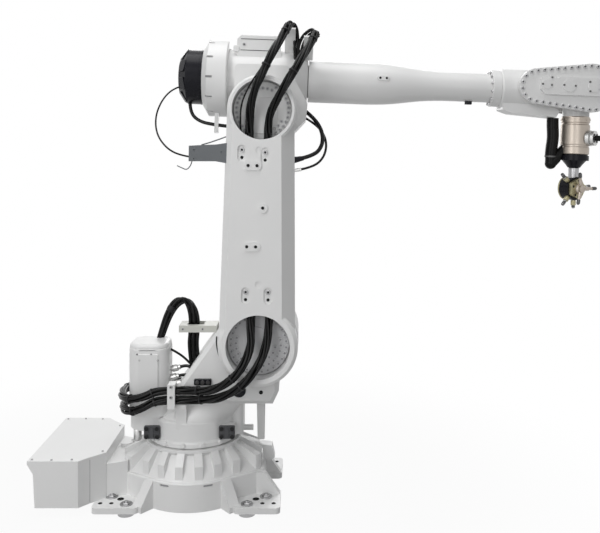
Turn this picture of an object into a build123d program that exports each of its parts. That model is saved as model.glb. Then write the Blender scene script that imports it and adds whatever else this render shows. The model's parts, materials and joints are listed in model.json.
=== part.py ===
from build123d import *
import math
import os

os.makedirs("parts", exist_ok=True)

# Driving sizes of the kinematic chain, mm and degrees
AXIS2_X = 345.0
AXIS2_Z = 815.0
LOWER_LENGTH = 1125.0
LOWER_LEAN = 1.0
ARM_RISE = 173.0
ARM_LENGTH = 1600.0
ARM_DROOP = 2.2

# Clearances and general wall values
SEAM = 5.0
RUNNING_FIT = 0.4
CAST_WALL = 16.0

# Base
PAD_HEIGHT = 18.0
PAD_RADIUS = 40.0
PAD_X = 290.0
PAD_Y = 264.0
FOOT_THICK = 28.0
FOOT_INNER_X = 190.0
FOOT_OUTER_X = 450.0
FOOT_INNER_Y = 150.0
FOOT_FRONT_X = 232.0
FOOT_OUTER_Y = 307.0
FOOT_CORNER = 24.0
ANCHOR_X = 330.0
ANCHOR_Y = 207.0
ANCHOR_RADIUS = 13.0
SKIRT_RADIUS = 295.0
SKIRT_SIDE = 368.0
SKIRT_SIDE_HALF = 115.0
SKIRT_TOP = 156.0
GUSSET_ANGLE = 51.0
GUSSET_WIDTH = 56.0
NECK_RADIUS = 240.0
NECK_TOP = 293.0
RIB_COUNT = 18
RIB_PHASE = 2.5
RIB_WIDTH = 38.0
RIB_INSET = 20.0
RIB_END_Z = 226.0

# Rear connection box
BOX_REAR_X = -753.0
BOX_REAR_LOW_X = -716.0
BOX_FRONT_X = -404.0
BOX_HALF = 305.0
BOX_TOP = 262.0
LID_THICK = 6.0

# Turntable
LIP_RADIUS = 226.0
LIP_HEIGHT = 28.0
DRUM_RADIUS = 217.0
DRUM_HEIGHT = 96.0
MOTOR1_X = -210.0
MOTOR1_Y = -60.0
MOTOR1_WIDTH = 200.0
MOTOR1_CORNER = 62.0
MOTOR1_LOW = 430.0
MOTOR1_HEIGHT = 330.0
MOTOR1_CAP = 28.0
FRAME_NEAR = -196.0
FRAME_FAR = 130.0
FRAME_HUB = 192.0
FRAME_BEVEL = 20.0
JAW_AHEAD = 96.0

# Lower arm
ARM_INNER = -206.0
ARM_DEPTH = 128.0
HUB2_RADIUS = 190.0
HUB3_RADIUS = 165.0
HOLE2_RADIUS = 152.0
HOLE3_RADIUS = 142.0
DISC_THICK = 34.0
BEAM_LOW_HALF = 182.0
BEAM_HIGH_HALF = 160.0
BEAM_SHIFT = -6.0
ARM_WALL = 14.0
BEAM_BEVEL_LEFT = 30.0
BEAM_BEVEL_RIGHT = 62.0

# Upper arm housing
HOUSING_BACK = -187.0
HOUSING_FRONT = 212.0
HOUSING_HALF = 150.0
SEAT3_RADIUS = 160.0
RING_RADIUS = 198.0
RING_LENGTH = 129.0
REAR_MOTOR_RADIUS = 139.0
REAR_MOTOR_LENGTH = 118.0
TOP_COVER_RISE = 205.0

# Arm tube and wrist
TUBE_REAR_RADIUS = 107.5
TUBE_FRONT_RADIUS = 73.0
TUBE_WALL = 11.0
TUBE_TAPER_START = 489.0
TUBE_NECK = 198.0
FLANGE_BACK = 450.0
FLANGE_RADIUS = 93.0
FLANGE_THICK = 46.0
WRIST_NECK_RADIUS = 101.0
FORK_HALF = 82.0
FORK_BACK = 190.0
CHEEK_OUT = 108.0
COVER_OUT = 136.0
COVER_BIG = 121.0
COVER_BIG_AHEAD = 30.0
COVER_SMALL = 88.0
COVER_SMALL_BACK = 243.0
COVER_LIFT = 8.0
CHIN_END = 106.0
CHIN_DROP = 140.0

# Wrist end and tool
TILT_RADIUS = 80.0
TILT_END = 129.0
SWIVEL_RADIUS = 72.0
SWIVEL_END = 323.0
HEAD_DROP = 498.0
HEAD_RADIUS = 60.0
HEAD_TURN = 32.0

# Cables and hose
BUNDLE_RADIUS = 21.0
LEAD_RADIUS = 11.0
THIN_RADIUS = 3.5
HOSE_RADIUS = 30.0

ARM_OUTER = ARM_INNER - ARM_DEPTH
BOX_LOW = PAD_HEIGHT + FOOT_THICK
LEAN_RAD = math.radians(LOWER_LEAN)
AXIS3_X = AXIS2_X + LOWER_LENGTH * math.sin(LEAN_RAD)
AXIS3_Z = AXIS2_Z + LOWER_LENGTH * math.cos(LEAN_RAD)
DRUM_LOW = NECK_TOP + SEAM
DRUM_TOP = DRUM_LOW + LIP_HEIGHT + DRUM_HEIGHT
FLANGE_X = ARM_LENGTH - FLANGE_BACK
TUBE_TAPER_END = FLANGE_X - TUBE_NECK

LOWER_FRAME = Pos(AXIS2_X, 0, AXIS2_Z) * Rot(0, LOWER_LEAN, 0)
UPPER_FRAME = Pos(AXIS3_X, 0, AXIS3_Z) * Rot(0, ARM_DROOP, 0)
TUBE_FRAME = UPPER_FRAME * Pos(0, 0, ARM_RISE)
WRIST_FRAME = TUBE_FRAME * Pos(ARM_LENGTH, 0, 0)

NODES = {}


def keep(name, shape):
    NODES[name] = shape
    print(name, round(shape.volume / 1000.0), "cm3")


def side_plane(y):
    return Plane(origin=(0, y, 0), x_dir=(1, 0, 0), z_dir=(0, -1, 0))


def side_prism(sketch, near, far):
    return extrude(side_plane(far) * sketch, amount=far - near)


def along_y(radius, near, far, x=0.0, z=0.0):
    return side_prism(Pos(x, z) * Circle(radius), near, far)


def along_x(radius, back, front):
    return extrude(Plane.YZ.offset(back) * Circle(radius), amount=front - back)


def along_z(radius, low, high, x=0.0, y=0.0):
    return Pos(x, y, low) * extrude(Circle(radius), amount=high - low)


def outline(points, radius=0.0):
    face = make_face(Polyline(*points, close=True))
    return fillet(face.vertices(), radius) if radius > 0 else face


def slab(points, low, high, radius=0.0):
    return Pos(0, 0, low) * extrude(outline(points, radius), amount=high - low)


def lathe_z(points):
    face = Plane.XZ * make_face(Polyline(*points, close=True))
    return revolve(face, Axis.Z)


def lathe_x(points):
    face = Plane.XZ * make_face(Polyline(*points, close=True))
    return revolve(face, Axis.X)


def tube_along(points, radius):
    steps = [Vector(*p) for p in points]
    runs = [(b - a).length for a, b in zip(steps, steps[1:])]
    radii = []
    for i in range(1, len(steps) - 1):
        turn = (steps[i] - steps[i - 1]).get_angle(steps[i + 1] - steps[i])
        reach = 0.45 * min(runs[i - 1], runs[i])
        radii.append(reach / math.tan(math.radians(turn / 2.0)))
    print("bends", [round(r) for r in radii], "tube", 2.0 * radius)
    line = FilletPolyline(*points, radius=radii)
    section = Plane(origin=line @ 0, z_dir=line % 0) * Circle(radius)
    return sweep(section, path=line)


def skirt_plan(inset):
    side = SKIRT_SIDE - inset
    half = SKIRT_SIDE_HALF - 0.4 * inset
    flats = [Line((end * side, -half), (end * side, half)) for end in (-1, 1)]
    plan = make_hull(list(Circle(SKIRT_RADIUS - inset).edges()) + flats)
    return fillet([v for v in plan.vertices() if abs(v.X) > side - 1.0], 40.0)


def skirt_slab(inset, low, high):
    return Pos(0, 0, low) * extrude(skirt_plan(inset), amount=high - low)


def skirt_loft(inset, low, radius, high):
    return loft([Pos(0, 0, low) * skirt_plan(inset), Pos(0, 0, high) * Circle(radius)], ruled=True)


# Plan outline of the rear connection box, with cut corners towards the base
box_plan = [
    (BOX_REAR_X, -BOX_HALF),
    (BOX_FRONT_X - 106.0, -BOX_HALF),
    (BOX_FRONT_X - 66.0, -BOX_HALF + 48.0),
    (BOX_FRONT_X, -BOX_HALF + 111.0),
    (BOX_FRONT_X, BOX_HALF - 111.0),
    (BOX_FRONT_X - 66.0, BOX_HALF - 48.0),
    (BOX_FRONT_X - 106.0, BOX_HALF),
    (BOX_REAR_X, BOX_HALF),
]

# Base casting: round skirt with two flat sides, flank to the neck, radial ribs, four feet
skirt = skirt_slab(0.0, PAD_HEIGHT, SKIRT_TOP)
skirt = chamfer(skirt.faces().sort_by(Axis.Z)[-1].edges(), 6.0)
flank = skirt_loft(14.0, SKIRT_TOP - 4.0, NECK_RADIUS - 20.0, NECK_TOP - 22.0)
rim = along_z(NECK_RADIUS, NECK_TOP - 30.0, NECK_TOP)
rim = chamfer(rim.faces().sort_by(Axis.Z)[0].edges(), 16.0)
envelope = skirt_loft(RIB_INSET, RIB_END_Z, NECK_RADIUS - 4.0, NECK_TOP - 10.0)
envelope += skirt_slab(RIB_INSET, SKIRT_TOP - 4.0, RIB_END_Z)
base = skirt + flank + rim
rib_plan = Pos(300.0, 0) * Rectangle(280.0, RIB_WIDTH)
rib_blank = Pos(0, 0, SKIRT_TOP - 4.0) * extrude(rib_plan, amount=NECK_TOP - SKIRT_TOP)
ribs = [Rot(0, 0, 360.0 * i / RIB_COUNT + RIB_PHASE) * rib_blank for i in range(RIB_COUNT)]
base += [envelope & rib for rib in ribs]
cavity = skirt_loft(CAST_WALL + 20.0, SKIRT_TOP - 20.0, NECK_RADIUS - 50.0, NECK_TOP - 40.0)
cavity += skirt_slab(CAST_WALL, PAD_HEIGHT - 1.0, SKIRT_TOP - 20.0)
foot_top = PAD_HEIGHT + FOOT_THICK
gusset_end = FOOT_OUTER_Y / math.sin(math.radians(GUSSET_ANGLE)) - 26.0
gusset_side = [
    (SKIRT_RADIUS - 50.0, PAD_HEIGHT),
    (gusset_end, PAD_HEIGHT),
    (gusset_end, foot_top),
    (SKIRT_RADIUS + 2.0, SKIRT_TOP - 6.0),
    (SKIRT_RADIUS - 50.0, SKIRT_TOP - 6.0),
]
gusset = side_prism(outline(gusset_side), -GUSSET_WIDTH / 2.0, GUSSET_WIDTH / 2.0)
flare_side = [
    (SKIRT_SIDE - 40.0, PAD_HEIGHT),
    (FOOT_OUTER_X - 6.0, PAD_HEIGHT),
    (FOOT_OUTER_X - 6.0, foot_top),
    (SKIRT_SIDE + 4.0, SKIRT_TOP - 8.0),
    (SKIRT_SIDE - 40.0, SKIRT_TOP - 8.0),
]
flare = side_prism(outline(flare_side), -SKIRT_SIDE_HALF - 32.0, -SKIRT_SIDE_HALF + 10.0)
plate_points = [
    (FOOT_INNER_X, -FOOT_INNER_Y),
    (SKIRT_SIDE - 40.0, 20.0 - SKIRT_SIDE_HALF),
    (FOOT_OUTER_X, 20.0 - SKIRT_SIDE_HALF),
    (FOOT_OUTER_X, -FOOT_OUTER_Y),
    (FOOT_FRONT_X, -FOOT_OUTER_Y),
]
foot = slab(plate_points, PAD_HEIGHT, foot_top, FOOT_CORNER) + Rot(0, 0, -GUSSET_ANGLE) * gusset + flare
feet = [foot, foot.mirror(Plane.XZ)]
feet += [one.mirror(Plane.YZ) for one in feet]
base += feet
neck_points = [
    (BOX_FRONT_X, -190.0),
    (-SKIRT_SIDE + 60.0, -150.0),
    (-SKIRT_SIDE + 60.0, 150.0),
    (BOX_FRONT_X, 190.0),
]
base += slab(neck_points, BOX_LOW, SKIRT_TOP + 54.0)
base += along_z(30.0, SKIRT_TOP, RIB_END_Z, BOX_FRONT_X + 44.0, 60.0)
base -= cavity
slot_face = Pos(0, SKIRT_TOP - 16.0) * SlotOverall(48.0, 10.0)
slot = side_prism(slot_face, -SKIRT_RADIUS - 1.0, -SKIRT_RADIUS + 5.0)
base -= [Rot(0, 0, turn) * slot for turn in (-21.0, 21.0)]
base -= slab(box_plan, BOX_LOW, NECK_TOP + 60.0)
for sx in (-1, 1):
    for sy in (-1, 1):
        base -= along_z(ANCHOR_RADIUS, 0.0, 90.0, sx * ANCHOR_X, sy * ANCHOR_Y)
        for step in (34.0, 88.0):
            base -= along_z(8.0, 0.0, 90.0, sx * (ANCHOR_X + step), sy * (FOOT_OUTER_Y - 54.0))
keep("base_casting", base)

pads = [
    along_z(PAD_RADIUS, 0.0, PAD_HEIGHT, sx * PAD_X, sy * PAD_Y)
    for sx in (-1, 1)
    for sy in (-1, 1)
]
keep("levelling_pads", Compound(children=pads))

# Rear connection box with a slanted back, lid on top
box = slab(box_plan, BOX_LOW, BOX_TOP)
box_side = [
    (BOX_REAR_LOW_X, BOX_LOW),
    (BOX_FRONT_X, BOX_LOW),
    (BOX_FRONT_X, BOX_TOP),
    (BOX_REAR_X, BOX_TOP),
    (BOX_REAR_X, BOX_TOP - 8.0),
    (BOX_REAR_LOW_X - 8.0, BOX_TOP - 56.0),
]
box = box & side_prism(outline(box_side), -BOX_HALF, BOX_HALF)
keep("rear_box", box)
lid = slab(box_plan, BOX_TOP, BOX_TOP + LID_THICK)
keep("rear_box_lid", lid)

# Front lug of the base, under the hanging strut
lug_side = [
    (NECK_RADIUS - 20.0, NECK_TOP - 24.0),
    (SKIRT_SIDE - 30.0, SKIRT_TOP + 68.0),
    (SKIRT_SIDE + 32.0, SKIRT_TOP + 62.0),
    (SKIRT_SIDE + 46.0, SKIRT_TOP),
    (SKIRT_SIDE + 22.0, SKIRT_TOP - 18.0),
    (SKIRT_SIDE - 12.0, SKIRT_TOP),
    (SKIRT_SIDE - 18.0, SKIRT_TOP + 50.0),
    (NECK_RADIUS - 20.0, SKIRT_TOP + 60.0),
]
lug = side_prism(outline(lug_side), 30.0, 90.0) - base
keep("front_lug", lug.solids().sort_by(SortBy.VOLUME)[-1])

bearing = along_z(LIP_RADIUS - 40.0, NECK_TOP, DRUM_LOW - RUNNING_FIT)
bearing -= along_z(LIP_RADIUS - 90.0, NECK_TOP, DRUM_LOW)
keep("axis1_bearing", bearing)

# Turntable frame: lip, drum, saddle, cheek with the axis-2 hub and the jaw
lip = along_z(LIP_RADIUS, DRUM_LOW, DRUM_LOW + LIP_HEIGHT)
lip = chamfer(lip.faces().sort_by(Axis.Z)[-1].edges(), 10.0)
drum = along_z(DRUM_RADIUS, DRUM_LOW + 20.0, DRUM_TOP)
drum = fillet(drum.faces().sort_by(Axis.Z)[-1].edges(), 14.0)
saddle_low = Pos(0, 0, DRUM_TOP - 4.0) * Circle(DRUM_RADIUS - 26.0)
saddle_high = Pos(80.0, -40.0, DRUM_TOP + 150.0) * Circle(120.0)
saddle = loft([saddle_low, saddle_high])
cheek_back = [(-74.0, AXIS2_Z - 254.0), (AXIS2_X - 147.0, AXIS2_Z - 313.0)]
hub_edges = (Pos(AXIS2_X, AXIS2_Z) * Circle(FRAME_HUB)).edges()
cheek = make_hull(list(hub_edges) + list(Polyline(*cheek_back).edges()))
jaw_points = [
    (AXIS2_X, AXIS2_Z),
    (AXIS2_X + JAW_AHEAD, AXIS2_Z - 140.0),
    (AXIS2_X + JAW_AHEAD, AXIS2_Z - 250.0),
    (AXIS2_X + JAW_AHEAD - 30.0, AXIS2_Z - 313.0),
    (AXIS2_X - 147.0, AXIS2_Z - 313.0),
]
cheek += outline(jaw_points)
cheek = side_prism(cheek, FRAME_NEAR, FRAME_FAR)
cheek = chamfer(cheek.faces().sort_by(Axis.Y)[0].outer_wire().edges(), FRAME_BEVEL)
pedestal_points = [
    (-140.0, DRUM_TOP - 20.0),
    (-74.0 + FRAME_BEVEL, AXIS2_Z - 254.0),
    (AXIS2_X - 130.0, AXIS2_Z - 254.0),
    (AXIS2_X - 147.0, AXIS2_Z - 313.0),
    (150.0, DRUM_TOP - 20.0),
]
pedestal = side_prism(outline(pedestal_points), FRAME_NEAR + 42.0, FRAME_FAR)
on_floor = (Align.CENTER, Align.CENTER, Align.MIN)
web = Pos(DRUM_RADIUS - 60.0, 10.0, DRUM_LOW + 16.0) * Box(200.0, 170.0, 200.0, align=on_floor)
web = fillet(web.edges().filter_by(Axis.Z), 30.0)
frame = cheek + pedestal + web
motor_seat = along_z(MOTOR1_WIDTH / 2.0, MOTOR1_LOW - 70.0, MOTOR1_LOW, MOTOR1_X, MOTOR1_Y)
frame = frame + saddle + drum + lip + motor_seat
keep("turntable_frame", frame)

plate_face = Pos(0, DRUM_LOW + 60.0) * RectangleRounded(78.0, 62.0, 6.0)
plates = [Pos(sx * 185.0, 0, 0) * side_prism(plate_face, -176.0, -104.0) - frame for sx in (-1, 1)]
plates = [plate.solids().sort_by(SortBy.VOLUME)[-1] for plate in plates]
keep("damper_plates", Compound(children=plates))

motor1 = Pos(MOTOR1_X, MOTOR1_Y, MOTOR1_LOW) * extrude(
    RectangleRounded(MOTOR1_WIDTH, MOTOR1_WIDTH, MOTOR1_CORNER), amount=MOTOR1_HEIGHT
)
keep("axis1_motor", motor1 - frame)
cap1 = Pos(MOTOR1_X, MOTOR1_Y, MOTOR1_LOW + MOTOR1_HEIGHT) * extrude(
    RectangleRounded(MOTOR1_WIDTH - 4.0, MOTOR1_WIDTH - 4.0, MOTOR1_CORNER), amount=MOTOR1_CAP
)
cap1 = fillet(cap1.faces().sort_by(Axis.Z)[-1].edges(), 18.0)
keep("axis1_motor_cap", cap1)

gear2 = along_y(HUB2_RADIUS - 30.0, ARM_INNER + RUNNING_FIT, FRAME_NEAR, AXIS2_X, AXIS2_Z)
keep("axis2_gear", gear2)
motor2 = along_y(96.0, FRAME_FAR, FRAME_FAR + 190.0, AXIS2_X, AXIS2_Z)
motor2 = fillet(motor2.faces().sort_by(Axis.Y)[-1].edges(), 16.0)
keep("axis2_motor", motor2)

plug_x = AXIS2_X - 98.0
plug_z = AXIS2_Z - 243.0
plug = along_y(33.0, FRAME_NEAR - 7.0, FRAME_NEAR, plug_x, plug_z)
plug = fillet(plug.faces().sort_by(Axis.Y)[0].edges(), 4.0)
keep("frame_plug", plug)

strut_top = AXIS2_Z - 300.0
strut = Pos(AXIS2_X - 3.0, 60.0, 0) * loft(
    [
        Pos(0, 0, RIB_END_Z + 20.0) * RectangleRounded(36.0, 40.0, 8.0),
        Pos(0, 0, strut_top) * RectangleRounded(46.0, 60.0, 8.0),
    ]
)
stop_pin = Pos(0, 20.0, DRUM_LOW + 20.0) * along_x(15.0, LIP_RADIUS - 30.0, LIP_RADIUS + 78.0)
stops = [(one - frame).solids().sort_by(SortBy.VOLUME)[-1] for one in (strut, stop_pin)]
keep("frame_stops", Compound(children=stops))

# White cable bracket: a channel from the sloping back of the frame
bracket_low = AXIS2_Z + 14.0
bracket_body = Pos(28.0, -17.0, bracket_low) * Box(190.0, 118.0, 34.0, align=on_floor)
bracket_slot = Pos(14.0, -6.0, bracket_low) * Box(84.0, 82.0, 60.0, align=on_floor)
bracket = bracket_body - bracket_slot
keep("cable_bracket", bracket - frame)

# Clamp block that holds the harness on the saddle
clamp_x = -74.0
clamp_y = FRAME_NEAR - 40.0
clamp_z = AXIS2_Z - 252.0
clamp = Pos(clamp_x, clamp_y, clamp_z) * Box(36.0, 70.0, 116.0)
clamp += Pos(clamp_x + 24.0, clamp_y + 30.0, clamp_z - 60.0) * Box(84.0, 60.0, 24.0)
clamp_foot = Pos(clamp_x + 40.0, FRAME_NEAR + 30.0, clamp_z - 110.0) * Box(52.0, 96.0, 124.0)
clamp = clamp + clamp_foot - frame
clamp_holes = [
    Pos(clamp_x, clamp_y, clamp_z + dz) * along_x(BUNDLE_RADIUS + 1.0, -60.0, 60.0) for dz in (22.0, -24.0)
]
clamp -= clamp_holes
clamp = clamp.solids().sort_by(SortBy.VOLUME)[-1]
keep("cable_clamp", clamp)

# Lower arm: two hubs along Y and a bevelled hollow beam between them
def beam_section(half, z, inset):
    near = ARM_OUTER + inset
    far = ARM_INNER - inset
    left = BEAM_SHIFT - half + inset
    right = BEAM_SHIFT + half - inset
    points = [
        (left, far),
        (right, far),
        (right, near + BEAM_BEVEL_RIGHT),
        (right - BEAM_BEVEL_RIGHT, near),
        (left + BEAM_BEVEL_LEFT, near),
        (left, near + BEAM_BEVEL_LEFT),
    ]
    return Pos(0, 0, z) * outline(points)


beam_ends = [beam_section(BEAM_LOW_HALF, 0.0, 0.0), beam_section(BEAM_HIGH_HALF, LOWER_LENGTH, 0.0)]
beam = loft(beam_ends, ruled=True)
hub2 = along_y(HUB2_RADIUS, ARM_OUTER, ARM_INNER)
hub3 = along_y(HUB3_RADIUS, ARM_OUTER, ARM_INNER, 0.0, LOWER_LENGTH)
hub2 = chamfer(hub2.faces().sort_by(Axis.Y)[0].edges(), 16.0)
hub3 = chamfer(hub3.faces().sort_by(Axis.Y)[0].edges(), 10.0)
hollow = loft(
    [
        beam_section(BEAM_LOW_HALF, 40.0, ARM_WALL),
        beam_section(BEAM_HIGH_HALF, LOWER_LENGTH - 40.0, ARM_WALL),
    ],
    ruled=True,
)
bore2 = along_y(HOLE2_RADIUS, ARM_OUTER - 1.0, ARM_INNER - ARM_WALL)
bore3 = along_y(HOLE3_RADIUS, ARM_OUTER - 1.0, ARM_INNER - ARM_WALL, 0.0, LOWER_LENGTH)
lower = beam + hub2 + hub3 - hollow - bore2 - bore3


def face_slot(x, z, long, wide, upright):
    turn = 90.0 if upright else 0.0
    return Pos(x, z) * Rot(0, 0, turn) * SlotOverall(long, wide)


bosses = [face_slot(-38.0, z, 84.0, 44.0, False) for z in (LOWER_LENGTH - 267.0, 476.0)]
bosses.append(Pos(13.0, 659.0) * Circle(23.0))
lower += [side_prism(boss, ARM_OUTER - 7.0, ARM_OUTER + 4.0) for boss in bosses]
pockets = [
    face_slot(-90.0, LOWER_LENGTH - 209.0, 78.0, 42.0, True),
    face_slot(20.0, LOWER_LENGTH - 220.0, 78.0, 42.0, True),
    face_slot(-61.0, 245.0, 78.0, 42.0, True),
    face_slot(45.0, 245.0, 78.0, 42.0, True),
]
lower -= [side_prism(pocket, ARM_OUTER - 1.0, ARM_OUTER + 8.0) for pocket in pockets]
dimples = [Pos(0.0, 297.0) * Circle(17.0), Pos(-8.0, LOWER_LENGTH - 194.0) * Circle(17.0)]
lower -= [side_prism(dimple, ARM_OUTER - 1.0, ARM_OUTER + 4.0) for dimple in dimples]
keep("lower_arm", LOWER_FRAME * lower)

disc_back = ARM_INNER - ARM_WALL
disc2 = along_y(HOLE2_RADIUS - 4.0, disc_back - DISC_THICK, disc_back)
disc3 = along_y(HOLE3_RADIUS - 4.0, disc_back - DISC_THICK, disc_back, 0.0, LOWER_LENGTH)
keep("axis2_disc", LOWER_FRAME * disc2)
keep("axis3_disc", LOWER_FRAME * disc3)

box_right = BEAM_SHIFT - BEAM_HIGH_HALF
box_face = [
    (box_right - 178.0, LOWER_LENGTH - 178.0),
    (box_right - 110.0, LOWER_LENGTH - 173.0),
    (box_right - 50.0, LOWER_LENGTH - 170.0),
    (box_right + 12.0, LOWER_LENGTH - 160.0),
    (box_right + 12.0, LOWER_LENGTH - 260.0),
    (box_right - 50.0, LOWER_LENGTH - 250.0),
    (box_right - 178.0, LOWER_LENGTH - 252.0),
]
cable_box = side_prism(outline(box_face), ARM_INNER - 104.0, ARM_INNER - 8.0) - lower
cable_box = cable_box.solids().sort_by(SortBy.VOLUME)[-1]
wire_y = ARM_INNER - 56.0
wire_z = LOWER_LENGTH - 250.0
wire = tube_along(
    [
        (box_right - 168.0, wire_y, wire_z),
        (box_right - 176.0, wire_y, wire_z - 26.0),
        (box_right - 194.0, wire_y, wire_z - 44.0),
        (box_right - 240.0, wire_y, wire_z - 24.0),
    ],
    2.6,
)
wire = (wire - cable_box).solids().sort_by(SortBy.VOLUME)[-1]
keep("cable_box", LOWER_FRAME * Compound(children=[cable_box, wire]))

# Upper arm housing: barrel round the arm axis and a seat round axis 3
barrel = along_x(HOUSING_HALF, HOUSING_BACK, HOUSING_FRONT - 60.0)
barrel = Pos(0, 0, ARM_RISE) * barrel
nose_low = Plane.YZ.offset(HOUSING_FRONT - 60.0) * Circle(HOUSING_HALF)
nose_high = Plane.YZ.offset(HOUSING_FRONT) * Circle(TUBE_REAR_RADIUS)
nose = Pos(0, 0, ARM_RISE) * loft([nose_low, nose_high])
seat_points = [
    (-150.0, ARM_RISE + 60.0),
    (110.0, ARM_RISE + 60.0),
    (216.0, 48.0),
    (212.0, -30.0),
    (165.0, -84.0),
    (60.0, -SEAT3_RADIUS),
    (-60.0, -SEAT3_RADIUS),
    (-150.0, -70.0),
]
seat = side_prism(outline(seat_points, 20.0), -HOUSING_HALF, HOUSING_HALF - 20.0)
housing = barrel + nose + seat
keep("arm_housing", UPPER_FRAME * housing)
gear3 = along_y(SEAT3_RADIUS - 20.0, ARM_INNER + RUNNING_FIT, -HOUSING_HALF)
keep("axis3_gear", UPPER_FRAME * gear3)
motor3 = along_y(88.0, HOUSING_HALF - 20.0, HOUSING_HALF + 190.0)
motor3 = fillet(motor3.faces().sort_by(Axis.Y)[-1].edges(), 14.0)
keep("axis3_motor", UPPER_FRAME * motor3)

ring_back = HOUSING_BACK - RING_LENGTH
ring = lathe_x(
    [
        (HOUSING_BACK, 0.0),
        (HOUSING_BACK, RING_RADIUS - 6.0),
        (HOUSING_BACK - 6.0, RING_RADIUS),
        (ring_back + 30.0, RING_RADIUS),
        (ring_back, RING_RADIUS - 48.0),
        (ring_back, 0.0),
    ]
)
slot_cut = Pos(ring_back + 36.0, 0, RING_RADIUS) * Box(44.0, 11.0, 22.0)
ring -= [Rot(360.0 * i / 12 + 4.0, 0, 0) * slot_cut for i in range(12)]
keep("gear_ring", TUBE_FRAME * ring)
motor_back = ring_back - REAR_MOTOR_LENGTH
rear_motor = lathe_x(
    [
        (ring_back, 0.0),
        (ring_back, REAR_MOTOR_RADIUS),
        (motor_back + 36.0, REAR_MOTOR_RADIUS),
        (motor_back, REAR_MOTOR_RADIUS - 46.0),
        (motor_back, 0.0),
    ]
)
keep("rear_motor", TUBE_FRAME * rear_motor)

cover_back = HOUSING_BACK + 40.0
cover_points = [
    (cover_back, HOUSING_HALF - 60.0),
    (cover_back, TOP_COVER_RISE - 16.0),
    (cover_back + 16.0, TOP_COVER_RISE),
    (58.0, TOP_COVER_RISE),
    (74.0, TOP_COVER_RISE - 16.0),
    (74.0, HOUSING_HALF - 60.0),
]
top_cover = side_prism(outline(cover_points), -110.0, 110.0)
top_cover -= along_x(HOUSING_HALF, HOUSING_BACK, HOUSING_FRONT)
keep("top_cover", TUBE_FRAME * top_cover)

# Arm tube: turned profile with an S-shaped taper, hollow
tube_back = HOUSING_FRONT + SEAM
tube_curve = Bezier(
    (TUBE_TAPER_START, TUBE_REAR_RADIUS),
    (0.5 * (TUBE_TAPER_START + TUBE_TAPER_END), TUBE_REAR_RADIUS),
    (0.5 * (TUBE_TAPER_START + TUBE_TAPER_END), TUBE_FRONT_RADIUS),
    (TUBE_TAPER_END, TUBE_FRONT_RADIUS),
)
tube_curve_in = Bezier(
    (TUBE_TAPER_END, TUBE_FRONT_RADIUS - TUBE_WALL),
    (0.5 * (TUBE_TAPER_START + TUBE_TAPER_END), TUBE_FRONT_RADIUS - TUBE_WALL),
    (0.5 * (TUBE_TAPER_START + TUBE_TAPER_END), TUBE_REAR_RADIUS - TUBE_WALL),
    (TUBE_TAPER_START, TUBE_REAR_RADIUS - TUBE_WALL),
)
tube_edges = [
    Polyline(
        (HOUSING_FRONT + RUNNING_FIT, TUBE_REAR_RADIUS - 44.0),
        (HOUSING_FRONT + RUNNING_FIT, TUBE_REAR_RADIUS - 22.0),
        (tube_back, TUBE_REAR_RADIUS - 22.0),
        (tube_back, TUBE_REAR_RADIUS),
        (TUBE_TAPER_START, TUBE_REAR_RADIUS),
    ),
    tube_curve,
    Polyline(
        (TUBE_TAPER_END, TUBE_FRONT_RADIUS),
        (FLANGE_X, TUBE_FRONT_RADIUS),
        (FLANGE_X, TUBE_FRONT_RADIUS - TUBE_WALL),
        (TUBE_TAPER_END, TUBE_FRONT_RADIUS - TUBE_WALL),
    ),
    tube_curve_in,
    Polyline(
        (TUBE_TAPER_START, TUBE_REAR_RADIUS - TUBE_WALL),
        (tube_back + 20.0, TUBE_REAR_RADIUS - TUBE_WALL),
        (tube_back + 20.0, TUBE_REAR_RADIUS - 44.0),
        (HOUSING_FRONT + RUNNING_FIT, TUBE_REAR_RADIUS - 44.0),
    ),
]
tube = revolve(Plane.XZ * make_face(tube_edges), Axis.X)
keep("arm_tube", TUBE_FRAME * tube)

flange = along_x(FLANGE_RADIUS, FLANGE_X, FLANGE_X + FLANGE_THICK)
flange = chamfer(flange.edges().filter_by(GeomType.CIRCLE), 3.0)
keep("wrist_flange", TUBE_FRAME * flange)


# Wrist housing: neck, fork cheeks and two bolted side covers
def teardrop(grow):
    big = Pos(COVER_BIG_AHEAD, COVER_LIFT) * Circle(COVER_BIG + grow)
    small = Pos(-COVER_SMALL_BACK, COVER_LIFT) * Circle(COVER_SMALL + grow)
    return make_hull(list(big.edges()) + list(small.edges()))


neck_back = FLANGE_X + FLANGE_THICK - ARM_LENGTH
neck = along_x(WRIST_NECK_RADIUS, neck_back, -FORK_BACK + 40.0)
neck = chamfer(neck.faces().sort_by(Axis.X)[0].edges(), 8.0)
cheeks = side_prism(teardrop(-6.0), -CHEEK_OUT, CHEEK_OUT)
chin_points = [
    (neck_back + 6.0, -60.0),
    (neck_back + 10.0, -WRIST_NECK_RADIUS - 8.0),
    (neck_back + 60.0, -CHIN_DROP + 14.0),
    (-CHIN_END - 16.0, -CHIN_DROP),
    (-CHIN_END, -CHIN_DROP + 30.0),
    (-FORK_BACK, -60.0),
]
chin = side_prism(outline(chin_points), -66.0, 66.0)
ahead = (Align.MIN, Align.CENTER, Align.CENTER)
fork_gap = Pos(-FORK_BACK, 0, 0) * Box(700, 2 * FORK_HALF, 700, align=ahead)
wrist = neck + cheeks - fork_gap + chin
keep("wrist_housing", TUBE_FRAME * Pos(ARM_LENGTH, 0, 0) * wrist)
cover = side_prism(teardrop(0.0), -COVER_OUT, -CHEEK_OUT)
panel_back = -COVER_SMALL_BACK + 12.0
panel_front = COVER_BIG_AHEAD + 80.0
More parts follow.
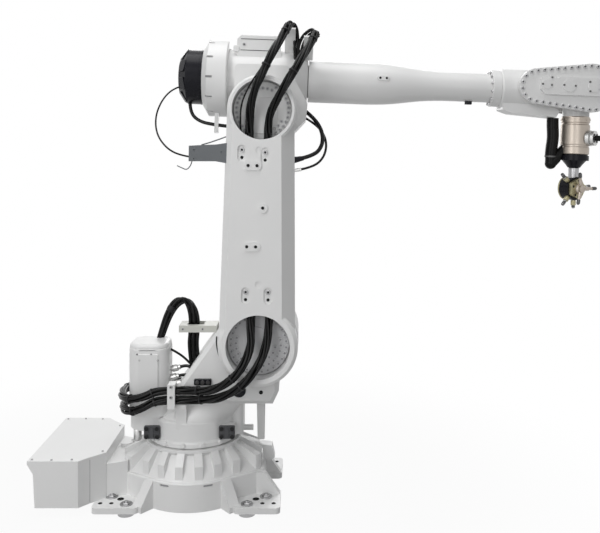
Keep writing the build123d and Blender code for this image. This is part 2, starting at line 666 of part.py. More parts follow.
panel_points = [
    (panel_back, COVER_LIFT + 40.0),
    (panel_back + 84.0, COVER_LIFT + 40.0),
    (panel_back + 94.0, COVER_LIFT + 48.0),
    (panel_front - 24.0, COVER_LIFT + 48.0),
    (panel_front, COVER_LIFT),
    (panel_front - 24.0, COVER_LIFT - 42.0),
    (panel_back + 24.0, COVER_LIFT - 40.0),
    (panel_back, COVER_LIFT - 16.0),
]
panel = side_prism(outline(panel_points, 8.0), -COVER_OUT - 12.0, -COVER_OUT)
caps = [
    along_y(r, -COVER_OUT - 15.0, -COVER_OUT - 12.0, x, COVER_LIFT + z)
    for x, z, r in ((-200.0, 10.0, 24.0), (-88.0, 6.0, 32.0), (31.0, 6.0, 28.0))
]
cover = cover + panel + caps
keep("near_cover", WRIST_FRAME * cover)
keep("far_cover", WRIST_FRAME * cover.mirror(Plane.XZ))

tilt = along_y(TILT_RADIUS, -FORK_HALF + SEAM, FORK_HALF - SEAM)
tilt += along_y(TILT_RADIUS - 25.0, -FORK_HALF + RUNNING_FIT, FORK_HALF - RUNNING_FIT)
tilt += along_z(SWIVEL_RADIUS - 6.0, -TILT_END, 0.0)
keep("wrist_tilt", WRIST_FRAME * tilt)

swivel = lathe_z(
    [
        (0.0, -TILT_END),
        (SWIVEL_RADIUS - 6.0, -TILT_END),
        (SWIVEL_RADIUS - 1.0, -TILT_END - 5.0),
        (SWIVEL_RADIUS - 1.0, -TILT_END - 30.0),
        (SWIVEL_RADIUS - 5.0, -TILT_END - 33.0),
        (SWIVEL_RADIUS - 5.0, -TILT_END - 40.0),
        (SWIVEL_RADIUS, -TILT_END - 44.0),
        (SWIVEL_RADIUS, -SWIVEL_END + 52.0),
        (SWIVEL_RADIUS - 3.0, -SWIVEL_END + 48.0),
        (SWIVEL_RADIUS - 3.0, -SWIVEL_END + 40.0),
        (SWIVEL_RADIUS, -SWIVEL_END + 36.0),
        (SWIVEL_RADIUS, -SWIVEL_END + 4.0),
        (SWIVEL_RADIUS - 4.0, -SWIVEL_END),
        (0.0, -SWIVEL_END),
    ]
)
keep("swivel_body", WRIST_FRAME * swivel)

tool_flange = lathe_z(
    [
        (0.0, -SWIVEL_END - RUNNING_FIT),
        (40.0, -SWIVEL_END - RUNNING_FIT),
        (40.0, -SWIVEL_END - SEAM),
        (SWIVEL_RADIUS, -SWIVEL_END - SEAM),
        (SWIVEL_RADIUS, -SWIVEL_END - 31.0),
        (0.0, -SWIVEL_END - 31.0),
    ]
)
keep("tool_flange", WRIST_FRAME * tool_flange)
cone_end = SWIVEL_END + 68.0
tool_cone = lathe_z(
    [
        (0.0, -SWIVEL_END - 31.0),
        (SWIVEL_RADIUS - 12.0, -SWIVEL_END - 31.0),
        (40.0, -cone_end + 14.0),
        (30.0, -cone_end),
        (0.0, -cone_end),
    ]
)
keep("tool_cone", WRIST_FRAME * tool_cone)

# Tool head: a drum on a stem, turned towards the viewer, with a brass plate and rods
HEAD_FRAME = WRIST_FRAME * Pos(0, 0, -HEAD_DROP) * Rot(0, 0, HEAD_TURN)
drum_head = along_y(HEAD_RADIUS, -16.0, 40.0) - along_y(HEAD_RADIUS - 20.0, 10.0, 41.0)
stem = along_z(26.0, HEAD_RADIUS - 30.0, HEAD_DROP - cone_end) - along_y(HEAD_RADIUS, -60.0, 60.0)
stem = chamfer(stem.faces().sort_by(Axis.Z)[-1].edges(), 3.0)
keep("head_drum", HEAD_FRAME * drum_head)
keep("head_stem", HEAD_FRAME * stem)
plate_corners = [
    (HEAD_RADIUS * 0.98 * math.cos(a), HEAD_RADIUS * 0.98 * math.sin(a))
    for a in (math.radians(d) for d in (75.0, 150.0, 215.0, 290.0, 2.0))
]
head_plate = side_prism(outline(plate_corners, 14.0), -34.0, -16.0)
keep("head_plate", HEAD_FRAME * head_plate)
rods = []
for angle, reach in ((142.0, 116.0), (226.0, 116.0), (272.0, 100.0), (6.0, 128.0)):
    rod = Rot(0, -angle, 0) * along_x(8.0, HEAD_RADIUS - 24.0, reach)
    rods.append((Pos(0, -3.0, 0) * rod - drum_head).solids().sort_by(SortBy.VOLUME)[-1])
keep("head_rods", HEAD_FRAME * Compound(children=rods))

# Side fitting, wrist hose and the elbow that leads it into the swivel body
FITTING_FRAME = WRIST_FRAME * Pos(0, 0, -239.0) * Rot(0, 0, -42.0)
fitting = lathe_x(
    [
        (SWIVEL_RADIUS - 6.0, 0.0),
        (SWIVEL_RADIUS - 6.0, 40.0),
        (SWIVEL_RADIUS + 12.0, 40.0),
        (SWIVEL_RADIUS + 12.0, 34.0),
        (SWIVEL_RADIUS + 20.0, 38.0),
        (SWIVEL_RADIUS + 34.0, 38.0),
        (SWIVEL_RADIUS + 34.0, 13.0),
        (SWIVEL_RADIUS + 62.0, 13.0),
        (SWIVEL_RADIUS + 62.0, 0.0),
    ]
)
fitting = (FITTING_FRAME * fitting) - (WRIST_FRAME * swivel)
keep("side_fitting", fitting.solids().sort_by(SortBy.VOLUME)[-1])
hose_x = -CHIN_END - 12.0
elbow_low = Vector(hose_x - 2.0, 0.0, -SWIVEL_END - 51.0)
hose_top = -CHIN_DROP - 0.5
hose_end = -SWIVEL_END - 10.0
hose_run = hose_top - hose_end
hose = tube_along(
    [
        (hose_x, 0.0, hose_top),
        (hose_x, 0.0, hose_top - 0.16 * hose_run),
        (hose_x + 6.0, 0.0, hose_top - 0.5 * hose_run),
        (elbow_low.X, 0.0, hose_top - 0.84 * hose_run),
        (elbow_low.X, 0.0, hose_end),
    ],
    HOSE_RADIUS,
)
keep("wrist_hose", WRIST_FRAME * hose.solid())
elbow_rise = Vector(-SWIVEL_RADIUS + 30.0, 0.0, -SWIVEL_END + 36.0) - elbow_low
elbow = along_z(HOSE_RADIUS - 2.0, elbow_low.Z, -SWIVEL_END - 10.0, elbow_low.X)
elbow += Pos(elbow_low) * Sphere(HOSE_RADIUS - 1.0)
elbow_end = Plane(origin=elbow_low, z_dir=elbow_rise) * Circle(HOSE_RADIUS - 2.0)
elbow += extrude(elbow_end, amount=elbow_rise.length)
elbow = elbow - swivel - hose - along_z(SWIVEL_RADIUS + SEAM, -SWIVEL_END - 90.0, -SWIVEL_END)
elbow = elbow.solids().sort_by(SortBy.VOLUME)[-1]
keep("hose_elbow", WRIST_FRAME * elbow)

# Brackets on the housing that carry the two bundles, and the clip under the gear ring
def bent_sheet(points, thick, back, width):
    line = Polyline(*[(0.0, y, z) for y, z in points])
    first = Vector(0, points[0][0], points[0][1])
    heading = Vector(0, points[1][0], points[1][1]) - first
    section = Plane(origin=first, x_dir=(1, 0, 0), z_dir=heading) * Rectangle(width, thick)
    return Pos(back + width / 2.0, 0, 0) * sweep(section, path=line, transition=Transition.RIGHT)


bracket_end = ARM_INNER + SEAM + 2.0
line_a = [(-60.0, ARM_RISE + 126.0), (-146.0, ARM_RISE + 204.0), (bracket_end, ARM_RISE + 236.0)]
line_b = [(-40.0, ARM_RISE + 100.0), (-140.0, ARM_RISE + 172.0), (bracket_end, ARM_RISE + 200.0)]
sheet_a = bent_sheet(line_a, 8.0, 92.0, 52.0)
sheet_b = bent_sheet(line_b, 8.0, 186.0, 48.0)
tube_room = Pos(0, 0, ARM_RISE) * along_x(TUBE_REAR_RADIUS + SEAM, HOUSING_FRONT, HOUSING_FRONT + 60.0)
sheets = [sheet - housing - tube_room for sheet in (sheet_a, sheet_b)]
sheets = [sheet.solids().sort_by(SortBy.VOLUME)[-1] for sheet in sheets]

lead_points = [
    (-385.0, -20.0, ARM_RISE - REAR_MOTOR_RADIUS + 6.0),
    (-380.0, -26.0, -16.0),
    (-326.0, -44.0, -58.0),
    (-240.0, -60.0, -72.0),
    (-120.0, -70.0, -80.0),
]
lead = tube_along(lead_points, 9.0)
clip = Pos(-240.0, -60.0, -62.0) * Box(20.0, 26.0, 100.0)
clip = clip - Pos(0, 0, ARM_RISE) * ring - tube_along(lead_points, 9.5)
clip = clip.solids().sort_by(SortBy.VOLUME)[-1]
keep("harness_brackets", UPPER_FRAME * Compound(children=sheets + [clip]))
lead = lead - housing - Pos(0, 0, ARM_RISE) * rear_motor
keep("rear_motor_lead", UPPER_FRAME * lead.solids().sort_by(SortBy.VOLUME)[-1])

# Cables: bundles and leads, each along straight runs and tangent arcs
motor_top = MOTOR1_LOW + MOTOR1_HEIGHT + MOTOR1_CAP
arch_points = [
    (-176.0, -8.0, motor_top - 10.0),
    (-152.0, -6.0, motor_top + 62.0),
    (-128.0, -2.0, motor_top + 122.0),
    (-94.0, 2.0, motor_top + 176.0),
    (-50.0, 4.0, motor_top + 200.0),
    (-6.0, 2.0, motor_top + 176.0),
    (14.0, -4.0, motor_top + 112.0),
    (14.0, -8.0, motor_top + 36.0),
    (6.0, -12.0, motor_top - 50.0),
    (24.0, -18.0, motor_top - 160.0),
]
lead_step = 2.0 * LEAD_RADIUS + 2.0
leads = [
    tube_along([(x + 6.0 * k, y + lead_step * k, z) for x, y, z in arch_points], LEAD_RADIUS) for k in (0, 1)
]
leads = [(one - frame - cap1).solids().sort_by(SortBy.VOLUME)[-1] for one in leads]
keep("motor_leads", Compound(children=leads))

clamp_high = clamp_z + 22.0
clamp_low = clamp_z - 24.0
loop_end = clamp_x + 40.0
loop_left = MOTOR1_X - MOTOR1_WIDTH / 2.0 - BUNDLE_RADIUS - 12.0
loop_back = MOTOR1_Y + MOTOR1_WIDTH / 2.0 + BUNDLE_RADIUS + 24.0
loop_high = tube_along(
    [
        (-40.0, loop_back - 8.0, 536.0),
        (-170.0, loop_back + 20.0, 532.0),
        (-300.0, loop_back - 12.0, 530.0),
        (loop_left - 6.0, 0.0, 530.0),
        (loop_left - 8.0, -120.0, 530.0),
        (-290.0, -226.0, 536.0),
        (clamp_x - 132.0, clamp_y - 6.0, clamp_high - 30.0),
        (clamp_x - 74.0, clamp_y, clamp_high),
        (loop_end, clamp_y, clamp_high),
    ],
    BUNDLE_RADIUS,
)
loop_low = tube_along(
    [
        (-70.0, loop_back + 6.0, 480.0),
        (-190.0, loop_back + 14.0, 476.0),
        (-304.0, loop_back - 4.0, 472.0),
        (loop_left, -30.0, 470.0),
        (loop_left + 2.0, -130.0, 470.0),
        (-282.0, -226.0, 474.0),
        (clamp_x - 132.0, clamp_y - 8.0, clamp_low - 34.0),
        (clamp_x - 74.0, clamp_y, clamp_low),
        (loop_end, clamp_y, clamp_low),
    ],
    BUNDLE_RADIUS,
)
loops = [(one - frame).solids().sort_by(SortBy.VOLUME)[-1] for one in (loop_high, loop_low)]
keep("harness_loop", Compound(children=loops))

inner_y = ARM_INNER - 84.0
hole_top = AXIS2_Z + HOLE2_RADIUS - 19.0
left_high = (AXIS2_X - 34.0, inner_y, hole_top)
right_high = (AXIS2_X + 52.0, inner_y, hole_top)
front_y = ARM_OUTER - BUNDLE_RADIUS
sweep_left = tube_along(
    [
        (loop_end, clamp_y, clamp_high),
        (loop_end + 52.0, clamp_y, clamp_high),
        (AXIS2_X - 214.0, front_y + 16.0, AXIS2_Z - 203.0),
        (AXIS2_X - 117.0, front_y - 20.0, AXIS2_Z - 140.0),
        (AXIS2_X - 54.0, front_y - 12.0, AXIS2_Z - 62.0),
        (AXIS2_X - 32.0, front_y + 34.0, AXIS2_Z + 12.0),
        (left_high[0], inner_y, hole_top - 54.0),
        left_high,
    ],
    BUNDLE_RADIUS,
)
sweep_right = tube_along(
    [
        (loop_end, clamp_y, clamp_low),
        (loop_end + 60.0, clamp_y, clamp_low),
        (AXIS2_X - 177.0, front_y + 18.0, AXIS2_Z - 241.0),
        (AXIS2_X - 65.0, front_y - 22.0, AXIS2_Z - 167.0),
        (AXIS2_X + 11.0, front_y - 16.0, AXIS2_Z - 70.0),
        (AXIS2_X + 42.0, front_y + 32.0, AXIS2_Z + 10.0),
        (right_high[0], inner_y, hole_top - 54.0),
        right_high,
    ],
    BUNDLE_RADIUS,
)
keep("axis2_harness", Compound(children=[sweep_left.solid(), sweep_right.solid()]))

arm_top = AXIS3_Z - 111.0
inner_high = ARM_INNER - 82.0
rise = arm_top - hole_top
left_top = (AXIS3_X - 60.0, inner_high, arm_top)
right_top = (AXIS3_X + 27.0, inner_high, arm_top)
rise_left = tube_along(
    [
        left_high,
        (left_high[0], inner_y, hole_top + 0.24 * rise),
        (left_high[0] - 5.0, inner_y + 9.0, hole_top + 0.5 * rise),
        (left_top[0], inner_high, hole_top + 0.76 * rise),
        left_top,
    ],
    BUNDLE_RADIUS,
)
rise_right = tube_along(
    [
        right_high,
        (right_high[0], inner_y, hole_top + 0.24 * rise),
        (right_high[0] + 5.0, inner_y + 9.0, hole_top + 0.5 * rise),
        (right_top[0], inner_high, hole_top + 0.76 * rise),
        right_top,
    ],
    BUNDLE_RADIUS,
)
keep("arm_harness", Compound(children=[rise_left.solid(), rise_right.solid()]))

upper_left = tube_along(
    [
        left_top,
        (left_top[0], inner_high, arm_top + 52.0),
        (AXIS3_X - 57.0, inner_high - 26.0, AXIS3_Z + 8.0),
        (AXIS3_X - 38.0, front_y + 14.0, AXIS3_Z + 76.0),
        (AXIS3_X - 2.0, front_y - 24.0, AXIS3_Z + 154.0),
        (AXIS3_X + 44.0, front_y + 8.0, AXIS3_Z + 254.0),
        (AXIS3_X + 90.0, front_y + 84.0, AXIS3_Z + 346.0),
        (AXIS3_X + 126.0, front_y + 138.0, AXIS3_Z + 418.0),
    ],
    BUNDLE_RADIUS,
)
upper_right = tube_along(
    [
        right_top,
        (right_top[0], inner_high, arm_top + 52.0),
        (AXIS3_X + 44.0, inner_high - 30.0, AXIS3_Z - 2.0),
        (AXIS3_X + 80.0, front_y + 6.0, AXIS3_Z + 58.0),
        (AXIS3_X + 125.0, front_y - 28.0, AXIS3_Z + 134.0),
        (AXIS3_X + 176.0, front_y + 8.0, AXIS3_Z + 221.0),
        (AXIS3_X + 224.0, front_y + 84.0, AXIS3_Z + 306.0),
        (AXIS3_X + 260.0, front_y + 138.0, AXIS3_Z + 378.0),
    ],
    BUNDLE_RADIUS,
)
uppers = [one - UPPER_FRAME * sheet for one, sheet in zip((upper_left, upper_right), sheets)]
uppers = [one.solids().sort_by(SortBy.VOLUME)[-1] for one in uppers]
keep("axis3_harness", Compound(children=uppers))

sensor = tube_along(
    [
        (AXIS3_X - 420.0, 0.0, AXIS3_Z + 144.0),
        (AXIS3_X - 470.0, -24.0, AXIS3_Z + 126.0),
        (AXIS3_X - 516.0, -76.0, AXIS3_Z + 66.0),
        (AXIS3_X - 540.0, -134.0, AXIS3_Z - 22.0),
        (AXIS3_X - 524.0, -188.0, AXIS3_Z - 112.0),
        (AXIS3_X - 470.0, -232.0, AXIS3_Z - 180.0),
        (AXIS3_X - 404.0, -256.0, AXIS3_Z - 216.0),
        (AXIS3_X - 330.0, -264.0, AXIS3_Z - 226.0),
    ],
    THIN_RADIUS,
)
sensor = sensor - LOWER_FRAME * cable_box - TUBE_FRAME * rear_motor
keep("sensor_lead", sensor.solids().sort_by(SortBy.VOLUME)[-1])

side_thick = tube_along(
    [
        (AXIS3_X + 196.0, -118.0, AXIS3_Z + 14.0),
        (AXIS3_X + 250.0, -134.0, AXIS3_Z - 30.0),
        (AXIS3_X + 290.0, -170.0, AXIS3_Z - 96.0),
        (AXIS3_X + 292.0, -206.0, AXIS3_Z - 168.0),
        (AXIS3_X + 246.0, -232.0, AXIS3_Z - 222.0),
        (AXIS3_X + 130.0, -242.0, AXIS3_Z - 244.0),
    ],
    LEAD_RADIUS - 1.0,
)
side_thin = tube_along(
    [
        (AXIS3_X + 196.0, -118.0, AXIS3_Z - 24.0),
        (AXIS3_X + 272.0, -134.0, AXIS3_Z - 68.0),
        (AXIS3_X + 314.0, -170.0, AXIS3_Z - 146.0),
        (AXIS3_X + 300.0, -206.0, AXIS3_Z - 226.0),
        (AXIS3_X + 240.0, -232.0, AXIS3_Z - 278.0),
        (AXIS3_X + 130.0, -242.0, AXIS3_Z - 294.0),
    ],
    LEAD_RADIUS - 5.0,
)
solid_lower = LOWER_FRAME * lower
solid_housing = UPPER_FRAME * housing
sides = [one - solid_lower - solid_housing for one in (side_thick, side_thin)]
keep("axis3_leads", Compound(children=[one.solids().sort_by(SortBy.VOLUME)[-1] for one in sides]))

for name, shape in NODES.items():
    export_step(shape, f"parts/{name}.step")
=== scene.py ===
import json
import math

import bpy
import numpy as np
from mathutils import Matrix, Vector


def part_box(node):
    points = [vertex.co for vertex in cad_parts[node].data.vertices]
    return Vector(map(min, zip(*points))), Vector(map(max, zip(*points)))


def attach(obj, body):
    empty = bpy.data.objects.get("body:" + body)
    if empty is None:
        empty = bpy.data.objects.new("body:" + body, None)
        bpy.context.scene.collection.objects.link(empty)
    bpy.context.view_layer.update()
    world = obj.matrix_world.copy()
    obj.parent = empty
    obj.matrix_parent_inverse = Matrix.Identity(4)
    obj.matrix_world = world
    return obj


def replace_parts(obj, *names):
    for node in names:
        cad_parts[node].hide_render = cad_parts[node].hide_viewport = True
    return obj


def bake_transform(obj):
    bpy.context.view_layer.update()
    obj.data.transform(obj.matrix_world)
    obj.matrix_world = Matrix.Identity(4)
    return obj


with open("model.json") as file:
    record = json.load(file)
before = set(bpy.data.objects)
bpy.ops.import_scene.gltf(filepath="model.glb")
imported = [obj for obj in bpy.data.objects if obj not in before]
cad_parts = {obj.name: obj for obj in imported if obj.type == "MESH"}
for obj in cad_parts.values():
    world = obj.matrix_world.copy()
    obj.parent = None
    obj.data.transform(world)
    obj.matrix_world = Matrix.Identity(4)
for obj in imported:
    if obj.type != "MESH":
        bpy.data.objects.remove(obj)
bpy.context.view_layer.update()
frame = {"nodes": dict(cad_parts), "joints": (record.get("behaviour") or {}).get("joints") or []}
nodes = frame["nodes"]
joints = {joint["name"]: joint for joint in frame["joints"]}
print("frame loaded:", len(nodes), "nodes")


class Wire:  # one output socket of a node tree, so that shader maths reads as an expression
    def __init__(self, tree, socket=None):
        self.tree = tree
        self.socket = socket

    def node(self, kind, settings=None, sockets=None, out=0):  # any node, as a Wire on one of its outputs
        made = self.tree.nodes.new("ShaderNode" + kind)
        for key, value in (settings or {}).items():
            setattr(made, key, value)
        for key, value in (sockets or {}).items():
            if isinstance(value, Wire):
                self.tree.links.new(value.socket, made.inputs[key])
            else:
                made.inputs[key].default_value = value
        return Wire(self.tree, made.outputs[out] if made.outputs else None)

    def maths(self, operation, first, second):
        return self.node("Math", {"operation": operation}, {0: first, 1: second})

    def __add__(self, other):
        return self.maths("ADD", self, other)

    def __radd__(self, other):
        return self.maths("ADD", other, self)

    def __mul__(self, other):
        return self.maths("MULTIPLY", self, other)

    def __rmul__(self, other):
        return self.maths("MULTIPLY", other, self)

    def noise(self, scale, detail=2.0, rough=0.5):  # fractal noise in object space, 0 to 1
        sockets = {"Vector": self, "Scale": scale, "Detail": detail, "Roughness": rough}
        return self.node("TexNoise", None, sockets)

    def stretched(self, scale):  # the same place, squeezed along each axis
        return self.node("Mapping", None, {"Vector": self, "Scale": scale})

    def band(self, low, high):  # smooth step from 0 at low to 1 at high
        rules = {"interpolation_type": "SMOOTHSTEP"}
        return self.node("MapRange", rules, {"Value": self, "From Min": low, "From Max": high})

    def tint(self, first, second):  # colour mix, this value being the share of the second
        first = first if isinstance(first, Wire) else (*first, 1.0)
        return self.node("Mix", {"data_type": "RGBA"}, {0: self, 6: first, 7: (*second, 1.0)}, out=2)


def newMaterial(name):  # material, its shader, and object coordinates as a Wire
    made = bpy.data.materials.new(name)
    made.use_nodes = True
    tree = made.node_tree
    return made, tree.nodes["Principled BSDF"], Wire(tree).node("TexCoord", out="Object")


def feed(wire, shader, name):  # link a Wire to one socket of the shader
    wire.tree.links.new(wire.socket, shader.inputs[name])


def bump(height, shader, strength, distance):  # distance is the relief in metres
    relief = height.node("Bump", None, {"Strength": strength, "Distance": distance, "Height": height})
    feed(relief, shader, "Normal")


def grey(level):  # the same level of red, green and blue
    return (level, level, level)


paintLook = {  # noise scales are per metre
    "tone": (0.790, 0.790, 0.785),
    "shade": (0.745, 0.745, 0.742),
    "clouds": 4.0,
    "dust": (0.56, 0.55, 0.53),
    "patches": 9.0,
    "patchBand": (0.62, 0.86),
    "patchShare": 0.22,
    "rough": 0.34,
    "smears": 23.0,
    "peel": 0.25,
    "coat": 0.12,
    "coatRough": 0.3,
}


def paintFinish(name, grain, depth):  # satin white paint: faint clouds, orange peel, dust in patches
    made, shader, at = newMaterial(name)
    cloud = at.noise(paintLook["clouds"], 3.0).tint(paintLook["tone"], paintLook["shade"])
    patch = at.noise(paintLook["patches"], 5.0, 0.65).band(*paintLook["patchBand"])
    dust = patch * paintLook["patchShare"]
    feed(dust.tint(cloud, paintLook["dust"]), shader, "Base Color")
    feed(paintLook["rough"] + 0.1 * at.noise(paintLook["smears"], 3.0) + 0.3 * dust, shader, "Roughness")
    bump(at.noise(grain), shader, paintLook["peel"], depth)
    shader.inputs["Coat Weight"].default_value = paintLook["coat"]
    shader.inputs["Coat Roughness"].default_value = paintLook["coatRough"]
    return made


metalLook = {"stretch": (1.0, 1.0, 9.0), "roughSpread": 0.16, "relief": 0.12, "depth": 0.0004}


def metalFinish(name, tone, dark, rough, grain, metallic=1.0):  # bare metal with fine machining streaks
    made, shader, at = newMaterial(name)
    streak = at.stretched(metalLook["stretch"]).noise(grain, 4.0, 0.6)
    feed(streak.tint(tone, dark), shader, "Base Color")
    feed(rough + metalLook["roughSpread"] * at.noise(0.5 * grain), shader, "Roughness")
    shader.inputs["Metallic"].default_value = metallic
    bump(streak, shader, metalLook["relief"], metalLook["depth"])
    return made


plasticLook = {"mottle": 14.0, "smears": 31.0, "roughSpread": 0.14, "relief": 0.2}


def plasticFinish(name, tone, other, rough, grain=700.0, mirror=0.5, depth=0.0005):
    # moulding, sheath or sheet paint in two close tones, finely pebbled; mirror is its specular level
    made, shader, at = newMaterial(name)
    shader.inputs["Specular IOR Level"].default_value = mirror
    feed(at.noise(plasticLook["mottle"], 3.0).tint(tone, other), shader, "Base Color")
    feed(rough + plasticLook["roughSpread"] * at.noise(plasticLook["smears"]), shader, "Roughness")
    bump(at.noise(grain), shader, plasticLook["relief"], depth)
    return made


whiteCast = paintFinish("white cast paint", 210.0, 0.0011)
whitePaint = paintFinish("white satin paint", 480.0, 0.0005)
greySheet = plasticFinish("grey sheet paint", (0.100, 0.109, 0.118), (0.125, 0.134, 0.142), 0.42)
blackPlastic = plasticFinish("black moulding", (0.006, 0.006, 0.009), (0.011, 0.011, 0.015), 0.20,
                             mirror=0.13, depth=0.0001)
cableSheath = plasticFinish("black cable sheath", grey(0.004), grey(0.008), 0.10,
                            grain=300.0, mirror=0.16, depth=0.00006)
hoseRubber = plasticFinish("black hose rubber", grey(0.005), grey(0.009), 0.20,
                           grain=300.0, mirror=0.1, depth=0.0001)
tieNylon = plasticFinish("tie nylon", (0.010, 0.010, 0.011), (0.018, 0.018, 0.019), 0.4, mirror=0.2)
# dark grey of the damper plates, also painted shade on the well floors of flange and cover bolts
damperGreyAndWellShade = plasticFinish("dark grey damper", (0.060, 0.061, 0.065), (0.080, 0.081, 0.086), 0.5,
                           grain=500.0, mirror=0.25)
# painted shade: near-black for holes, seams and screw wells, where shade falls
paintedRecessShade = plasticFinish("dark recess", grey(0.012), grey(0.022), 0.6, mirror=0.15)
# paler painted shade for slot floors, a seam strip and screw wells
palePaintedShade = plasticFinish("pale recess", (0.34, 0.34, 0.35), (0.27, 0.27, 0.28), 0.5, grain=500.0)
ivorySheet = plasticFinish("ivory sheet", (0.60, 0.60, 0.56), (0.52, 0.52, 0.48), 0.36, grain=500.0)
discPaint = plasticFinish("pale grey disc", (0.62, 0.62, 0.63), (0.54, 0.54, 0.55), 0.42, grain=300.0)
machined = metalFinish("machined steel", (0.62, 0.62, 0.61), grey(0.48), 0.30, 60.0)
screwSteel = metalFinish("screw steel", grey(0.46), (0.28, 0.28, 0.29), 0.30, 160.0)
screwDark = metalFinish("blackened screw", grey(0.12), grey(0.06), 0.38, 160.0)
swivelMetal = metalFinish("warm anodised metal", (0.47, 0.415, 0.36), (0.39, 0.345, 0.30), 0.28, 80.0, 0.75)
brassDull = metalFinish("dull brass", (0.46, 0.42, 0.26), (0.30, 0.28, 0.18), 0.34, 90.0, 0.85)

finishOf = {  # every other node is in white satin paint
    "base_casting": whiteCast,
    "front_lug": whiteCast,
    "turntable_frame": whiteCast,
    "frame_stops": whiteCast,
    "rear_motor": blackPlastic,
    "frame_plug": blackPlastic,
    "tool_flange": blackPlastic,
    "tool_cone": blackPlastic,
    "head_drum": blackPlastic,
    "hose_elbow": hoseRubber,
    "cable_box": greySheet,
    "cable_bracket": ivorySheet,
    "levelling_pads": screwSteel,
    "axis1_bearing": screwDark,
    "axis2_gear": screwDark,
    # axis3_disc stays in white paint, brighter than the grey axis2_disc: painted light on its shaded recess
    "axis2_disc": discPaint,
    "side_fitting": machined,
    "head_rods": screwSteel,
    "head_stem": screwSteel,
    "swivel_body": swivelMetal,
    "head_plate": brassDull,
}
for name, node in nodes.items():
    node.data.materials.clear()
    node.data.materials.append(finishOf.get(name, whitePaint))
print("finishes set")

upward = (0.0, 0.0, 1.0)
downward = (0.0, 0.0, -1.0)
nearSide = (0.0, -1.0, 0.0)
farSide = (0.0, 1.0, 0.0)
rearward = (-1.0, 0.0, 0.0)


def makeMesh(name, parts, finish):  # parts: (points, faces) arrays; rows of faces are padded with -1
    starts = np.cumsum([0] + [len(points) for points, faces in parts])
    points = np.concatenate([points for points, faces in parts])
    rows = [np.where(faces < 0, -1, faces + start) for (some, faces), start in zip(parts, starts)]
    rows = np.concatenate(rows).astype(np.int32)
    used = rows >= 0
    firstLoop = np.r_[0, np.cumsum(used.sum(1))[:-1]].astype(np.int32)
    mesh = bpy.data.meshes.new(name)
    mesh.vertices.add(len(points))
    mesh.vertices.foreach_set("co", points.ravel())
    mesh.loops.add(int(used.sum()))
    mesh.loops.foreach_set("vertex_index", rows[used])
    mesh.polygons.add(len(rows))
    mesh.polygons.foreach_set("loop_start", firstLoop)
    mesh.update(calc_edges=True)
    mesh.validate()
    mesh.materials.append(finish)
    made = bpy.data.objects.new(name, mesh)
    bpy.context.scene.collection.objects.link(made)
    return made


def smooth(piece, degrees=40.0):  # smooth shading, with edges over the angle left sharp
    flags = np.ones(len(piece.data.polygons), dtype=bool)
    piece.data.polygons.foreach_set("use_smooth", flags)
    piece.data.set_sharp_from_angle(angle=math.radians(degrees))
    return piece


def addPiece(name, parts, finish, body):  # a shaded piece that rides on a body
    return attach(smooth(makeMesh(name, parts, finish)), body)


def unit(v):  # each vector over its length
    return v / np.linalg.norm(v, axis=-1, keepdims=True)


def spokes(degrees, first, second):  # unit vectors at angles from axis number first towards axis second
    turn = np.radians(degrees)
    made = np.zeros((len(turn), 3))
    made[:, first] = np.cos(turn)
    made[:, second] = np.sin(turn)
    return made


def evenTurn(count, start=0.0):  # angles in degrees that share out a whole turn
    return 360.0 * np.arange(count) / count + start


def reachOf(line):  # length travelled at each point of a line
    return np.r_[0, np.cumsum(np.linalg.norm(np.diff(line, axis=0), axis=1))]


def evenPoints(line, count, endpoint=True):  # points on a line at equal steps of its length
    reach = reachOf(line)
    steps = np.linspace(0, reach[-1], count, endpoint=endpoint)
    return np.stack([np.interp(steps, reach, values) for values in line.T], -1)


def quads(rows, columns, closed=False):
    # faces between rows of points; each row closes on itself, and the last row joins the first where closed
    i, j = np.meshgrid(np.arange(rows if closed else rows - 1), np.arange(columns), indexing="ij")
    after = (i + 1) % rows
    beside = (j + 1) % columns
    around = [i * columns + j, i * columns + beside, after * columns + beside, after * columns + j]
    return np.stack(around, -1).reshape(-1, 4)


def capped(rings, first, last):
    # closed skin over rings of points (rows x columns x 3), with a fan from the first and to the last point
    rows, columns = rings.shape[:2]
    j = np.arange(columns)
    k = (j + 1) % columns
    pole = rows * columns + 0 * j
    end = (rows - 1) * columns
    below = np.stack([k, j, pole, -1 + 0 * j], -1)
    above = np.stack([end + j, end + k, pole + 1, -1 + 0 * j], -1)
    points = np.concatenate([rings.reshape(-1, 3), [first, last]])
    return points, np.concatenate([quads(rows, columns), below, above])


def ringAround(count):  # even points on the unit circle
    turn = np.linspace(0, 2 * np.pi, count, endpoint=False)
    return np.stack([np.cos(turn), np.sin(turn)], -1)


def turned(profile, sides):  # each (radius, height) pair becomes a circle about Z
    profile = np.array(profile, float)
    flat = profile[:, None, :1] * ringAround(sides)[None]
    return np.concatenate([flat, np.repeat(profile[:, None, 1:], sides, 1)], -1)


def lathe(profile, sides=16):
    # solid of revolution about Z from (radius, height) pairs, the first and the last of them on the axis
    return capped(turned(profile[1:-1], sides), (0, 0, profile[0][1]), (0, 0, profile[-1][1]))


def ringBand(inner, outer, high, sides=48):  # flat ring: a square profile carried round Z, closed on itself
    square = [(inner, 0), (outer, 0), (outer, high), (inner, high)]
    return turned(square, sides).reshape(-1, 3), quads(len(square), sides, True)


